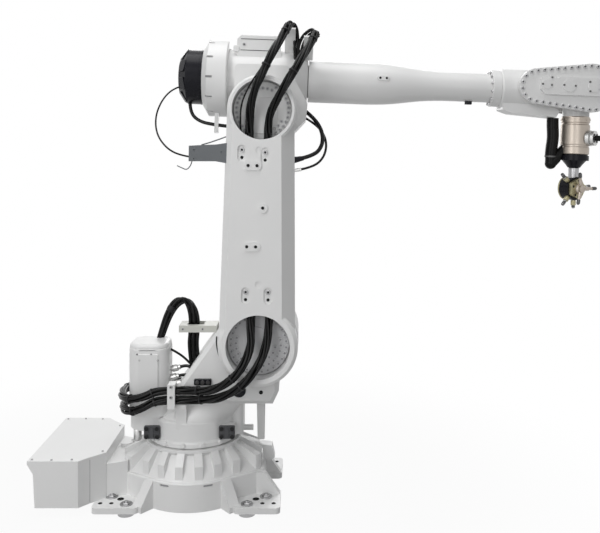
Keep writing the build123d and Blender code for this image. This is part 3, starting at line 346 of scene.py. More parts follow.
def slab(wide, tall, corner, thick, bevel):
    # plate on the XY plane: a rectangle with arcs at its corners, raised, its top edge bevelled
    perCorner = 5
    quarter = np.repeat(np.array([(1, 1), (-1, 1), (-1, -1), (1, -1)], float), perCorner, 0)
    sweep = np.tile(np.linspace(0, np.pi / 2, perCorner), 4)
    turn = np.repeat(np.arange(4), perCorner) * np.pi / 2 + sweep
    arc = np.stack([np.cos(turn), np.sin(turn)], -1)
    core = quarter * (wide / 2 - corner, tall / 2 - corner)
    rings = []
    for level, inset in ((0.0, 0.0), (thick - bevel, 0.0), (thick, bevel)):
        edge = core + (corner - min(inset, corner)) * arc - (inset - min(inset, corner)) * quarter
        rings.append(np.c_[edge, np.full(len(edge), level)])
    return capped(np.array(rings), (0, 0, 0), (0, 0, thick))


def stamped(part, places, axes=nearSide):  # copies of a part, its Z turned to each axis, at each place
    points, faces = part
    places = np.atleast_2d(np.array(places, float))
    up = unit(np.broadcast_to(np.array(axes, float), places.shape))
    aside = np.where(np.abs(up[:, 2:]) > 0.9, np.array([farSide]), np.array([upward]))
    right = unit(np.cross(aside, up))
    ahead = np.cross(up, right)
    copies = places[:, None] + points[None, :, :1] * right[:, None]
    copies = copies + points[None, :, 1:2] * ahead[:, None] + points[None, :, 2:] * up[:, None]
    shift = (len(points) * np.arange(len(places)))[:, None, None]
    return copies.reshape(-1, 3), np.where(faces < 0, -1, faces + shift).reshape(-1, faces.shape[1])


def tilted(points, origin, tilt):  # points of a frame turned about Y by tilt and set at origin
    points = np.asarray(points, float)
    c = math.cos(tilt)
    s = math.sin(tilt)
    x = c * points[..., 0] + s * points[..., 2]
    z = c * points[..., 2] - s * points[..., 0]
    return np.stack([x, points[..., 1], z], -1) + origin


def moved(part, origin, tilt):  # a part from a tilted frame to the machine's frame
    return tilted(part[0], origin, tilt), part[1]


def framesOf(path, across):  # two normals of a path, the first being its tangent crossed with a direction
    along = unit(np.gradient(path, axis=0))
    side = unit(np.cross(along, across))
    return side, np.cross(side, along)


def tube(path, radius, across, sides=12):  # a circle carried along a path, its ends closed
    side, lift = framesOf(path, across)
    size = np.broadcast_to(np.asarray(radius, float), len(path))[:, None, None]
    circle = ringAround(sides)[None]
    rings = path[:, None] + size * (circle[..., :1] * side[:, None] - circle[..., 1:] * lift[:, None])
    return capped(rings, path[0], path[-1])


def routeLine(points, count):  # even points read from the smooth spline over a route's control points
    curve = bpy.data.curves.new("route", "CURVE")
    curve.dimensions = "3D"
    spline = curve.splines.new("NURBS")
    spline.points.add(len(points) - 1)
    spline.points.foreach_set("co", np.c_[np.array(points), np.ones(len(points))].ravel())
    spline.order_u = 3
    spline.use_endpoint_u = True
    spline.resolution_u = 12
    holder = bpy.data.objects.new("route", curve)
    bpy.context.scene.collection.objects.link(holder)
    bpy.context.view_layer.update()
    mesh = bpy.data.meshes.new_from_object(holder)
    line = np.zeros(len(mesh.vertices) * 3)
    mesh.vertices.foreach_get("co", line)
    bpy.data.objects.remove(holder)
    bpy.data.curves.remove(curve)
    bpy.data.meshes.remove(mesh)
    return evenPoints(line.reshape(-1, 3), count)


harness = {  # rates are in radians a metre, twist in turns a metre
    "radius": 0.021,
    "step": 0.012,
    "twist": 1.1,
    "sway": 0.25,
    "swayRate": 9,
    "spread": 2.02,  # of the outer strands from the middle, in strand radii
    "swell": 0.1,
    "swellRate": 13,
    "strand": (0.8, 1.02),  # thinnest and thickest, as shares
    "tieWidth": 0.008,
    "tieRadius": 0.0222,
}


def bundle(path, across, seed):
    # seven strands in a hexagonal pack: six circle the middle one and twist slowly along the path
    grip = harness["radius"] / 3.0
    reach = reachOf(path)
    side, lift = framesOf(path, across)
    draw = np.random.default_rng(seed)
    parts = [tube(path, grip, across, 8)]
    for k in range(6):
        sway = harness["sway"] * np.sin(harness["swayRate"] * reach + draw.uniform(0, 6))
        angle = 2 * np.pi * (k / 6 + harness["twist"] * reach) + sway
        swell = harness["swell"] * np.sin(harness["swellRate"] * reach + draw.uniform(0, 6))
        spread = grip * (harness["spread"] + swell)
        line = path + (spread * np.cos(angle))[:, None] * side + (spread * np.sin(angle))[:, None] * lift
        parts.append(tube(line, grip * draw.uniform(*harness["strand"]), across, 10))
    return parts


def barrel(radius, high, edge, slope, sides):  # round band, both rims drawn in by edge over slope
    return lathe([(0, 0), (radius - edge, 0), (radius, slope), (radius, high - slope), (radius - edge, high),
                  (0, high)], sides)


def cableTie(path, place, width, radius):  # flat band round a cable at a share of its length
    middle = int(place * (len(path) - 1))
    along = path[min(middle + 1, len(path) - 1)] - path[max(middle - 1, 0)]
    return stamped(barrel(radius, width, 0.1 * radius, 0.1 * width, 20), [path[middle]], along)


yAcross = np.array(farSide)
zAcross = np.array(upward)
axis2 = np.array(joints["axis_2"]["pos_m"])
axis3 = np.array(joints["axis_3"]["pos_m"])
axis5 = np.array(joints["axis_5"]["pos_m"])
armAlong = np.array(joints["axis_4"]["axis"])
lean = math.atan2(axis3[0] - axis2[0], axis3[2] - axis2[2])
droop = math.atan2(-armAlong[2], armAlong[0])
lowerLength = float(np.linalg.norm(axis3 - axis2))
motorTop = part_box("axis1_motor_cap")[1].z


def asIs(part):  # parts already in the machine's frame
    return part


def onLower(part):  # parts measured from axis 2 along the lower arm
    return moved(part, axis2, lean)


def onUpper(part):  # parts measured from axis 3 along the upper arm
    return moved(part, axis3, droop)


def onWrist(part):  # parts measured from axis 5 along the arm tube
    return moved(part, axis5, droop)


routes = {  # control points of each cable in metres, as the solids have them
    "loopHigh": [
        (-0.040, 0.077, 0.536), (-0.170, 0.105, 0.532), (-0.300, 0.073, 0.530), (-0.349, 0.0, 0.530),
        (-0.351, -0.120, 0.530), (-0.290, -0.226, 0.536), (-0.206, -0.242, 0.555), (-0.148, -0.236, 0.585),
        (-0.034, -0.236, 0.585)],
    "loopLow": [
        (-0.070, 0.091, 0.480), (-0.190, 0.099, 0.476), (-0.304, 0.081, 0.472), (-0.343, -0.030, 0.470),
        (-0.341, -0.130, 0.470), (-0.282, -0.226, 0.474), (-0.206, -0.244, 0.505), (-0.148, -0.236, 0.539),
        (-0.034, -0.236, 0.539)],
    "sweepLeft": [
        (-0.034, -0.236, 0.585), (0.018, -0.236, 0.585), (0.131, -0.339, 0.612), (0.228, -0.375, 0.675),
        (0.291, -0.367, 0.753), (0.313, -0.321, 0.827), (0.311, -0.290, 0.894), (0.311, -0.290, 0.948)],
    "sweepRight": [
        (-0.034, -0.236, 0.539), (0.026, -0.236, 0.539), (0.168, -0.337, 0.574), (0.280, -0.377, 0.648),
        (0.356, -0.371, 0.745), (0.387, -0.323, 0.825), (0.397, -0.290, 0.894), (0.397, -0.290, 0.948)],
    "riseLeft": [
        (0.311, -0.290, 0.948), (0.311, -0.290, 1.159), (0.306, -0.281, 1.388), (0.3046, -0.288, 1.617),
        (0.3046, -0.288, 1.8288)],
    "riseRight": [
        (0.397, -0.290, 0.948), (0.397, -0.290, 1.159), (0.402, -0.281, 1.388), (0.3916, -0.288, 1.617),
        (0.3916, -0.288, 1.8288)],
}
offAxis3 = {  # measured from axis 3; the thin wire has no solid
    "upperLeft": [
        (-0.060, -0.288, -0.111), (-0.060, -0.288, -0.059), (-0.057, -0.314, 0.008), (-0.038, -0.341, 0.076),
        (-0.002, -0.379, 0.154), (0.044, -0.347, 0.254), (0.090, -0.271, 0.346), (0.126, -0.217, 0.418)],
    "upperRight": [
        (0.027, -0.288, -0.111), (0.027, -0.288, -0.059), (0.044, -0.318, -0.002), (0.080, -0.349, 0.058),
        (0.125, -0.383, 0.134), (0.176, -0.347, 0.221), (0.224, -0.271, 0.306), (0.260, -0.217, 0.378)],
    "thinWire": [
        (-0.100, -0.284, -0.160), (-0.106, -0.284, -0.060), (-0.100, -0.300, 0.030), (-0.060, -0.335, 0.110),
        (-0.010, -0.362, 0.180), (0.040, -0.346, 0.248)],
    "sensor": [
        (-0.430, 0.0, 0.140), (-0.470, -0.024, 0.126), (-0.516, -0.076, 0.066), (-0.540, -0.134, -0.022),
        (-0.524, -0.188, -0.112), (-0.470, -0.232, -0.180), (-0.404, -0.256, -0.216),
        (-0.344, -0.263, -0.225)],
    "sideThick": [
        (0.205, -0.120, 0.006), (0.250, -0.134, -0.030), (0.290, -0.170, -0.096), (0.292, -0.206, -0.168),
        (0.246, -0.232, -0.222), (0.146, -0.241, -0.241)],
    "sideThin": [
        (0.208, -0.120, -0.031), (0.272, -0.134, -0.068), (0.314, -0.170, -0.146), (0.300, -0.206, -0.226),
        (0.240, -0.232, -0.278), (0.146, -0.241, -0.292)],
}
for name, points in offAxis3.items():
    routes[name] = (np.array(points) + axis3).tolist()


def lineOf(name, count=None):  # a cable's line, with a point about every step where no count is given
    rough = reachOf(np.array(routes[name]))[-1]
    return routeLine(routes[name], count or max(16, int(rough / harness["step"])))


def bundlePair(name, node, pair, across, ties, seed):  # two bundles as one object, their ties as another
    lines = [lineOf(one) for one in pair]
    strands = []
    for k, line in enumerate(lines):
        strands += bundle(line, across, seed + k)
    bands = [cableTie(line, t, harness["tieWidth"], harness["tieRadius"]) for line in lines for t in ties]
    cables = smooth(makeMesh(name, strands, cableSheath))
    straps = smooth(makeMesh(name + "_ties", bands, tieNylon))
    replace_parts(cables, node)
    return cables, straps


loopPair = ("loopHigh", "loopLow")
for piece in bundlePair("loop_cables", "harness_loop", loopPair, zAcross, (0.42, 0.7, 0.84), 3):
    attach(piece, "turntable")
sweepPair = ("sweepLeft", "sweepRight")
for piece in bundlePair("axis2_cables", "axis2_harness", sweepPair, yAcross, (0.16, 0.5), 11):
    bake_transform(piece)
risePair = ("riseLeft", "riseRight")
for piece in bundlePair("arm_cables", "arm_harness", risePair, yAcross, (0.1, 0.9), 21):
    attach(piece, "lower_arm")
upperPair = ("upperLeft", "upperRight")
for piece in bundlePair("axis3_cables", "axis3_harness", upperPair, yAcross, (0.55, 0.93), 31):
    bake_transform(piece)


def leads(name, node, lines, sides=12):  # plain round leads, given as (points, radius), that stand for a node
    parts = [tube(line, size, yAcross, sides) for line, size in lines]
    piece = smooth(makeMesh(name, parts, cableSheath))
    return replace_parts(piece, node)


arch = {  # five motor leads over one route, its heights measured from the top of the motor
    "route": [
        (-0.176, -0.008, -0.010), (-0.152, -0.006, 0.062), (-0.128, -0.002, 0.122), (-0.094, 0.002, 0.176),
        (-0.050, 0.004, 0.200), (-0.006, 0.002, 0.176), (0.014, -0.004, 0.112), (0.014, -0.008, 0.036),
        (0.006, -0.012, -0.050), (0.024, -0.018, -0.160)],
    "radius": 0.0078,
    "left": (-0.010, -0.004, 0.002, 0.008, 0.013),  # shift of each lead at the plug
    "right": (-0.034, -0.023, -0.012, -0.001, 0.008),  # and at the cheek
    "deep": (0.000, 0.018, -0.006, 0.020, 0.004),
    "rise": (0.004, -0.010, 0.006, -0.004, -0.014),
    "wide": 0.17,
    "high": 0.2,
    "points": 60,
    "tie": (0.022, 0.030, 0.004, 0.006, 24),
    "tieAt": 14,  # point of the middle lead
    "tieShift": (0.0, 0.006, 0.0),
}
archLine = np.array(arch["route"])
crossed = np.clip((archLine[:, 0] - archLine[0, 0]) / arch["wide"], 0.0, 1.0)
crown = np.clip(archLine[:, 2], 0.0, arch["high"]) / arch["high"]
strandLines = []
for left, right, deep, high in zip(arch["left"], arch["right"], arch["deep"], arch["rise"]):
    shift = np.stack([left + (right - left) * crossed, deep + 0 * crossed, motorTop + high * crown], -1)
    strandLines.append(routeLine((archLine + shift).tolist(), arch["points"]))
archLeads = [(line, arch["radius"]) for line in strandLines]
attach(leads("motor_lead_arch", "motor_leads", archLeads, 10), "turntable")
middleLead = strandLines[2]
tiePlace = middleLead[arch["tieAt"]] + arch["tieShift"]
tieAlong = middleLead[arch["tieAt"] + 2] - middleLead[arch["tieAt"] - 1]
archTie = stamped(barrel(*arch["tie"]), [tiePlace], tieAlong)
addPiece("motor_lead_tie", [archTie], tieNylon, "turntable")

rearLead = {  # measured from axis 3 along the upper arm
    "route": [
        (-0.385, -0.020, 0.040), (-0.380, -0.026, -0.016), (-0.326, -0.044, -0.058), (-0.240, -0.060, -0.072),
        (-0.142, -0.068, -0.079)],
    "radius": 0.009,
}
rearLine = routeLine(tilted(rearLead["route"], axis3, droop).tolist(), 44)
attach(leads("rear_motor_cable", "rear_motor_lead", [(rearLine, rearLead["radius"])]), "upper_arm")

leadSize = {"thinWire": 0.004, "sensor": 0.0044, "sideThick": 0.010, "sideThin": 0.006}
thinWire = tube(lineOf("thinWire", 40), leadSize["thinWire"], yAcross, 8)
piece = smooth(makeMesh("axis3_thin_wire", [thinWire], cableSheath))
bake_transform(piece)
piece = leads("sensor_cable", "sensor_lead", [(lineOf("sensor", 70), leadSize["sensor"])], 8)
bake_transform(piece)
thickLine = lineOf("sideThick", 48)
thinLine = lineOf("sideThin", 48)
sideLines = [(thickLine, leadSize["sideThick"]), (thinLine, leadSize["sideThin"])]
piece = leads("side_cables", "axis3_leads", sideLines)
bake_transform(piece)

hose = {  # measured from axis 5 along the arm tube
    "route": [
        (-0.118, 0.0, -0.1405), (-0.118, 0.0, -0.1713), (-0.112, 0.0, -0.2368), (-0.120, 0.0, -0.3022),
        (-0.120, 0.0, -0.333)],
    "radius": 0.030,
    "clampWidth": 0.010,
    "clampRadius": 0.0322,
}
hosePath = routeLine(tilted(hose["route"], axis5, droop).tolist(), 60)
piece = smooth(makeMesh("wrist_hose_tube", [tube(hosePath, hose["radius"], yAcross, 28)], hoseRubber))
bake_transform(piece)
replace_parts(piece, "wrist_hose")
print("cables made")


def capScrew(radius, high):  # socket head screw with a round well
    well = 0.5 * radius
    return lathe([(0, 0), (radius, 0), (radius, 0.8 * high), (0.86 * radius, high), (well, high),
                  (well, 0.5 * high), (0, 0.5 * high)], 14)


def hexNut(radius, high):  # six-sided lathe with its top edge drawn in
    return lathe([(0, 0), (radius, 0), (radius, 0.78 * high), (0.86 * radius, high), (0, high)], 6)


def disc(radius, high, bevel=0.001, sides=24):  # short cylinder, its top edge bevelled
    return lathe([(0, 0), (radius, 0), (radius, high - bevel), (radius - bevel, high), (0, high)], sides)


def dish(inner, outer):  # mouth of a hole in painted shade: a sunk floor with a flat rim on the surface
    return lathe([(0, -0.0035), (inner, -0.0035), (inner, -0.0005), (outer, -0.0005), (outer, 0.0008),
                  (inner, 0.0008), (inner - 0.001, -0.0025), (0, -0.0025)], 28)


def addStamps(name, body, shape, places, axes, within, finish):  # a shape at each place, as one piece
    return addPiece(name, [within(stamped(shape, places, axes))], finish, body)


def screwSet(name, body, places, axes, size, within, finish, inside=paintedRecessShade):
    # cap screws of (radius, height) at places of a frame, with a second piece of painted shade on the floors
    # of their wells
    radius, high = size
    places = np.atleast_2d(places)
    addStamps(name, body, capScrew(radius, high), places, axes, within, finish)
    floors = places + 0.52 * high * unit(np.broadcast_to(np.array(axes, float), places.shape))
    wellShadeDisc = disc(0.5 * radius, 0.05 * high, 0.0002, 10)
    addStamps(name + "_wells", body, wellShadeDisc, floors, axes, within, inside)


# base: levelling bolts, painted shade in the hole mouths, skirt slots and box seam, and lid screws
foot = {  # discs are (radius, high, bevel, sides), mouths are inner and outer radius
    "top": 0.046,
    "bolts": [(0.290, 0.262), (0.378, 0.180)],
    "washer": (0.030, 0.005, 0.001, 32),
    "nut": (0.021, 0.011),
    "stud": (0.011, 0.016, 0.002, 16),
    "anchor": (0.330, 0.207),
    "anchorMouth": (0.0128, 0.0165),
    "small": [(0.364, 0.253), (0.418, 0.253)],
    "smallMouth": (0.0078, 0.0105),
}
fourWays = np.array([(sx, sy, 1.0) for sx in (-1, 1) for sy in (-1, 1)])


def onFeet(place):  # a place on the top of one foot, repeated on all four
    return fourWays * (*place, foot["top"])


footBolts = np.concatenate([onFeet(place) for place in foot["bolts"]])
boltParts = [disc(*foot["washer"]), hexNut(*foot["nut"]), disc(*foot["stud"])]
boltParts = [stamped(part, footBolts, upward) for part in boltParts]
addPiece("foot_bolts", boltParts, screwSteel, "base")
# dark mouths on the foot holes: painted shade in and round the holes
mouths = [stamped(dish(*foot["anchorMouth"]), onFeet(foot["anchor"]), upward)]
mouths += [stamped(dish(*foot["smallMouth"]), onFeet(place), upward) for place in foot["small"]]
addPiece("foot_hole_shadows", mouths, paintedRecessShade, "base")

skirt = {
    "turns": (-111.0, -69.0),
    "radius": 0.2905,
    "height": 0.140,
    "slot": (0.045, 0.008, 0.004, 0.0015, 0.0005),
}
skirtAxes = spokes(skirt["turns"], 0, 1)
skirtPlaces = skirt["radius"] * skirtAxes + (0.0, 0.0, skirt["height"])
# grey floors in the skirt slots: painted shade
skirtSlotShade = slab(*skirt["slot"])
addStamps("skirt_slot_floors", "base", skirtSlotShade, skirtPlaces, skirtAxes, asIs, palePaintedShade)

seam = {
    "axis": (0.69, -0.72, 0.0),
    "back": 0.0631,
    "inward": 0.0508,
    "wide": 0.0022,
    "short": 0.012,
    "edge": (0.0008, 0.0008, 0.0003),  # corner, thick, bevel
}
boxLow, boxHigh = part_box("rear_box")
seamPlace = (boxHigh.x - seam["back"], boxLow.y + seam["inward"], 0.5 * (boxLow.z + boxHigh.z))
# grey strip along the box seam: painted shade in the gap
seamShadeStrip = slab(seam["wide"], boxHigh.z - boxLow.z - seam["short"], *seam["edge"])
addStamps("rear_box_seam", "base", seamShadeStrip, [seamPlace], seam["axis"], asIs, palePaintedShade)

boxLid = {
    "screws": [(-0.735, 0.285), (-0.640, 0.290), (-0.545, 0.285), (-0.425, 0.180)],
    "screw": (0.0055, 0.004),
}
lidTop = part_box("rear_box_lid")[1].z
lidScrews = [(x, side * y, lidTop) for side in (-1, 1) for x, y in boxLid["screws"]]
screwSet("lid_screws", "base", lidScrews, upward, boxLid["screw"], asIs, screwSteel)

# turntable: dampers, lip bosses, saddle, motor panel, connectors and a painted shade arc round the hub
damper = {  # slabs are (wide, tall, corner, thick, bevel)
    "plate": (0.078, 0.062, 0.006, 0.018, 0.003),
    "rib": (0.066, 0.009, 0.003, 0.004, 0.0015),
    "web": (0.020, 0.046, 0.004, 0.005, 0.002),
    "spacer": (0.070, 0.054, 0.006, 0.058, 0.002),
    "overlap": 0.001,
    "bolt": (0.0105, 0.006),
    "boltX": 0.026,
    "boltZ": 0.020,
}
plateLow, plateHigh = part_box("damper_plates")
plateThick = damper["plate"][3]
plateX = plateHigh.x - 0.5 * damper["plate"][0]
plateZ = 0.5 * (plateLow.z + plateHigh.z)
plateFaces = np.array([(side * plateX, plateLow.y, plateZ) for side in (-1, 1)])
damperParts = [stamped(slab(*damper["plate"]), plateFaces + (0.0, plateThick, 0.0))]
damperParts += [stamped(slab(*damper[part]), plateFaces) for part in ("rib", "web")]
dampers = makeMesh("damper_faces", damperParts, damperGreyAndWellShade)
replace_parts(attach(smooth(dampers), "turntable"), "damper_plates")
spacers = plateFaces + (0.0, plateThick + damper["spacer"][3] - damper["overlap"], 0.0)
spacer = slab(*damper["spacer"])
addStamps("damper_spacers", "turntable", spacer, spacers, nearSide, asIs, whiteCast)
boltShifts = [(dx * damper["boltX"], 0.0, dz * damper["boltZ"]) for dx in (-1, 1) for dz in (-1, 1)]
damperBolts = np.concatenate([plateFaces + shift for shift in boltShifts])
damperHead = capScrew(*damper["bolt"])
addStamps("damper_bolts", "turntable", damperHead, damperBolts, nearSide, asIs, tieNylon)

lip = {"radius": 0.226, "height": 0.312, "count": 15, "boss": (0.0125, 0.008)}
lipAxes = spokes(evenTurn(lip["count"]), 0, 1)
lipPlaces = lip["radius"] * lipAxes + (0.0, 0.0, lip["height"])
lipBoss = hexNut(*lip["boss"])
addStamps("lip_bosses", "turntable", lipBoss, lipPlaces, lipAxes, asIs, whitePaint)

saddle = {
    "rows": 14,
    "columns": 72,
    "low": 0.392,
    "high": 0.520,
    "shift": (0.104, -0.006),  # of the top ring, in x and y
    "wide": (0.2155, 0.186),  # half width at the bottom and at the top
    "deep": (0.2155, 0.178),
}
climb = np.linspace(0.0, 1.0, saddle["rows"])[:, None]
ease = climb * climb * (3 - 2 * climb)


def eased(pair):  # from the first value at the drum to the second at the cheek
    return pair[0] + (pair[1] - pair[0]) * ease


circle = ringAround(saddle["columns"])[None]
ringX = saddle["shift"][0] * ease + eased(saddle["wide"]) * circle[..., 0]
ringY = saddle["shift"][1] * ease + eased(saddle["deep"]) * circle[..., 1]
ringZ = saddle["low"] + (saddle["high"] - saddle["low"]) * climb + 0 * ringX
rings = np.stack([ringX, ringY, ringZ], -1)  # rings that shift and shrink as they rise from drum to cheek
skin = capped(rings, (0.0, 0.0, saddle["low"]), (*saddle["shift"], saddle["high"]))
addPiece("frame_saddle", [skin], whiteCast, "turntable")

motor = {
    "panel": (0.100, 0.250, 0.006, 0.004, 0.002),
    "panelShift": 0.004,
    "panelZ": 0.615,
    "rim": (0.200, 0.200, 0.062, 0.005, 0.002),
    "rimDrop": 0.003,
    "screws": [(-0.05, 0.020), (0.02, 0.020), (-0.038, 0.05), (0.052, 0.05)],  # from the middle, from the top
    "screw": (0.005, 0.004),
}
motorLow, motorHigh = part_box("axis1_motor")
motorX = 0.5 * (motorLow.x + motorHigh.x)
motorY = 0.5 * (motorLow.y + motorHigh.y)
panelPlace = [(motorX + motor["panelShift"], motorLow.y, motor["panelZ"])]
panel = slab(*motor["panel"])
addStamps("motor_panel", "turntable", panel, panelPlace, nearSide, asIs, whitePaint)
rimPlace = [(motorX, motorY, motorHigh.z - motor["rimDrop"])]
addStamps("motor_rim", "turntable", slab(*motor["rim"]), rimPlace, upward, asIs, whitePaint)
motorScrews = [(motorX + dx, motorLow.y, motorHigh.z - dz) for dx, dz in motor["screws"]]
screwSet("motor_screws", "turntable", motorScrews, nearSide, motor["screw"], asIs, screwSteel)

plugs = {
    "places": [(-0.110, 0.640), (-0.114, 0.600), (-0.086, 0.575)],
    "step": 0.02,  # each plug stands this much nearer than the last
    "slope": (1.0, 0.0, 0.25),
    "shell": [(0, 0), (0.013, 0), (0.013, 0.008), (0.017, 0.010), (0.017, 0.036), (0.012, 0.040),
              (0.012, 0.050), (0, 0.050)],
    "tail": [(0.045, 0.0, 0.010), (0.080, 0.0, 0.022), (0.115, -0.01, 0.004), (0.150, -0.01, -0.05)],
    "tailRadius": 0.008,
    "slant": [(-0.112, 0.0, 0.742), (-0.080, 0.01, 0.722), (-0.040, 0.02, 0.690), (-0.004, 0.02, 0.652)],
    "slantRadius": 0.006,
}
plugPlaces = np.array([(x, motorY - plugs["step"] * k, z) for k, (x, z) in enumerate(plugs["places"])])
plugShell = lathe(plugs["shell"], 20)
addStamps("motor_plugs", "turntable", plugShell, plugPlaces, plugs["slope"], asIs, machined)
tailRoutes = [(np.array(plugs["tail"]) + place).tolist() for place in plugPlaces]
tails = [tube(routeLine(route, 24), plugs["tailRadius"], yAcross) for route in tailRoutes]
slantRoute = (np.array(plugs["slant"]) + (0.0, motorY, 0.0)).tolist()
tails.append(tube(routeLine(slantRoute, 24), plugs["slantRadius"], yAcross))
addPiece("motor_plug_tails", tails, cableSheath, "turntable")

sockets = {  # black block with three round sockets on the cheek
    "box": (0.084, 0.030, 0.004, 0.016, 0.003),
    "x": 0.070,
    "z": 0.616,
    "caps": (-0.026, 0.0, 0.026),
    "cap": (0.010, 0.006),
}
plugLow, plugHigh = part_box("frame_plug")
frameNear = plugHigh.y
boxPlace = [(sockets["x"], frameNear, sockets["z"])]
socketBox = slab(*sockets["box"])
addStamps("frame_sockets", "turntable", socketBox, boxPlace, nearSide, asIs, blackPlastic)
capPlaces = [(sockets["x"] + dx, frameNear - sockets["box"][3], sockets["z"]) for dx in sockets["caps"]]
socketCap = disc(*sockets["cap"])
addStamps("frame_socket_caps", "turntable", socketCap, capPlaces, nearSide, asIs, screwDark)

hub = {  # hole shade and shade arc are placed from axis 2
    "hole": (0.010, 0.001, 0.0002),
    "holeX": 0.009,
    "holeZ": -0.252,
    "holeProud": 0.0006,
    "plugRing": (0.022, 0.003, 0.001, 32),
    "seal": (174, 282, 60),  # shade arc: first and last angle in degrees, points
    "sealRadius": 0.209,
    "sealThick": 0.003,
}
holePlace = [(axis2[0] + hub["holeX"], frameNear - hub["holeProud"], axis2[2] + hub["holeZ"])]
frameHole = disc(*hub["hole"])
addStamps("frame_hole_shadow", "turntable", frameHole, holePlace, nearSide, asIs, paintedRecessShade)
plugPlace = [(0.5 * (plugLow.x + plugHigh.x), plugLow.y, 0.5 * (plugLow.z + plugHigh.z))]
plugRing = disc(*hub["plugRing"])
addStamps("frame_plug_ring", "turntable", plugRing, plugPlace, nearSide, asIs, blackPlastic)
shadeArcTurn = np.linspace(*hub["seal"])  # thin black arc round the axis 2 hub, left to bottom: painted shade of the seam between hub and cheek
shadeArcLine = hub["sealRadius"] * spokes(shadeArcTurn, 0, 2) + (axis2[0], frameNear, axis2[2])
hubShadeArc = tube(shadeArcLine, hub["sealThick"], yAcross, 10)
addPiece("hub_seal", [hubShadeArc], blackPlastic, "turntable")

drain = {
    "place": (-0.272, -0.090, 0.291),
    "profile": [(0, 0), (0.016, 0), (0.020, 0.005), (0.020, 0.060), (0.016, 0.066), (0.016, 0.070),
                (0, 0.070)],
}
drainPart = lathe(drain["profile"], 24)
addStamps("motor_drain", "turntable", drainPart, [drain["place"]], upward, asIs, machined)

holders = {
    "clampX": -0.074,
    "clampZ": (0.562, 0.612),
    "clampScrew": (0.008, 0.006),
    "bracketLeft": 0.020,
    "bracketRight": 0.070,
    "bracketUp": 0.017,
    "bracketScrew": (0.006, 0.004),
}
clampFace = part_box("cable_clamp")[0].y
clampScrews = [(holders["clampX"], clampFace, z) for z in holders["clampZ"]]
screwSet("clamp_screws", "turntable", clampScrews, nearSide, holders["clampScrew"], asIs, screwSteel)
holderLow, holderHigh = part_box("cable_bracket")
holderX = (holderLow.x + holders["bracketLeft"], holderHigh.x - holders["bracketRight"])
holderScrews = [(x, holderLow.y, holderLow.z + holders["bracketUp"]) for x in holderX]
screwSet("bracket_screws", "turntable", holderScrews, nearSide, holders["bracketScrew"], asIs, screwSteel)
print("base and turntable dressed")

# lower arm: pocket screws, painted shade in pocket and boss holes, disc bolts, cable ends and cable box
arm = {  # y of the pocket floors and boss faces, then places in x and z along the arm
    "floor": -0.326,
    "boss": -0.341,
    "pockets": [(-0.090, lowerLength - 0.209), (0.020, lowerLength - 0.220), (-0.061, 0.245), (0.045, 0.245)],
    "screwUp": 0.016,
    "screw": (0.012, 0.007),
    "holeDown": 0.020,
    "bossX": (-0.059, -0.017),
    "bossZ": (lowerLength - 0.267, 0.476),
    "lastHole": (0.013, 0.659),
    "hole": (0.0075, 0.001, 0.0002, 20),
    "holeProud": 0.0005,
    "collar": (0.0085, 0.0125, 0.002, 24),
    "collarSunk": 0.001,
}
pocketScrews = [(x, arm["floor"], z + arm["screwUp"]) for x, z in arm["pockets"]]
screwSet("pocket_screws", "lower_arm", pocketScrews, nearSide, arm["screw"], onLower, screwSteel)
pocketHoles = [(x, arm["floor"] - arm["holeProud"], z - arm["holeDown"]) for x, z in arm["pockets"]]
bossSpots = [(x, z) for x in arm["bossX"] for z in arm["bossZ"]] + [arm["lastHole"]]
bossHoles = np.array([(x, arm["boss"] - arm["holeProud"], z) for x, z in bossSpots])
armHole = disc(*arm["hole"])
armHoles = np.concatenate([pocketHoles, bossHoles])
addStamps("arm_hole_shadows", "lower_arm", armHole, armHoles, nearSide, onLower, paintedRecessShade)
collar = ringBand(*arm["collar"])
collarPlaces = bossHoles + (0.0, arm["collarSunk"], 0.0)
addStamps("arm_hole_collars", "lower_arm", collar, collarPlaces, nearSide, onLower, whitePaint)

discs = {  # rows of bolts: radius, first and last angle in degrees, count
    "lower": [(0.134, 120, 260, 12), (0.108, 165, 235, 6), (0.134, 278, 392, 10), (0.108, 284, 372, 7),
              (0.082, 290, 350, 4)],
    "lowerBolt": (0.0105, 0.007),
    "lowerPlate": (0.062, 0.005, 0.002, 48),
    "lowerShift": (-0.010, 0.020),
    "upper": [(0.126, 100, 240, 14), (0.126, 280, 420, 14), (0.106, 66, 114, 5), (0.106, 290, 330, 4)],
    "upperBolt": (0.0088, 0.006),
    "upperPlate": (0.136, 0.176, 0.030, 0.006, 0.002),
    "upperShift": (0.006, -0.026),
}
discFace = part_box("axis2_disc")[0].y
upperDisc = np.array([0.0, discFace, lowerLength])
lowerDisc = np.array([0.0, discFace, 0.0])


def boltRows(rows):  # bolts on arcs about a disc's centre
    return np.concatenate([radius * spokes(np.linspace(*arc), 0, 2) for radius, *arc in rows])


# the bolt wells on both discs are floored with pale painted shade
lowerBolts = boltRows(discs["lower"]) + lowerDisc
screwSet("lower_disc_bolts", "lower_arm", lowerBolts, nearSide, discs["lowerBolt"], onLower, discPaint,
         inside=palePaintedShade)
upperBolts = boltRows(discs["upper"]) + upperDisc
screwSet("upper_disc_bolts", "lower_arm", upperBolts, nearSide, discs["upperBolt"], onLower, discPaint,
         inside=palePaintedShade)
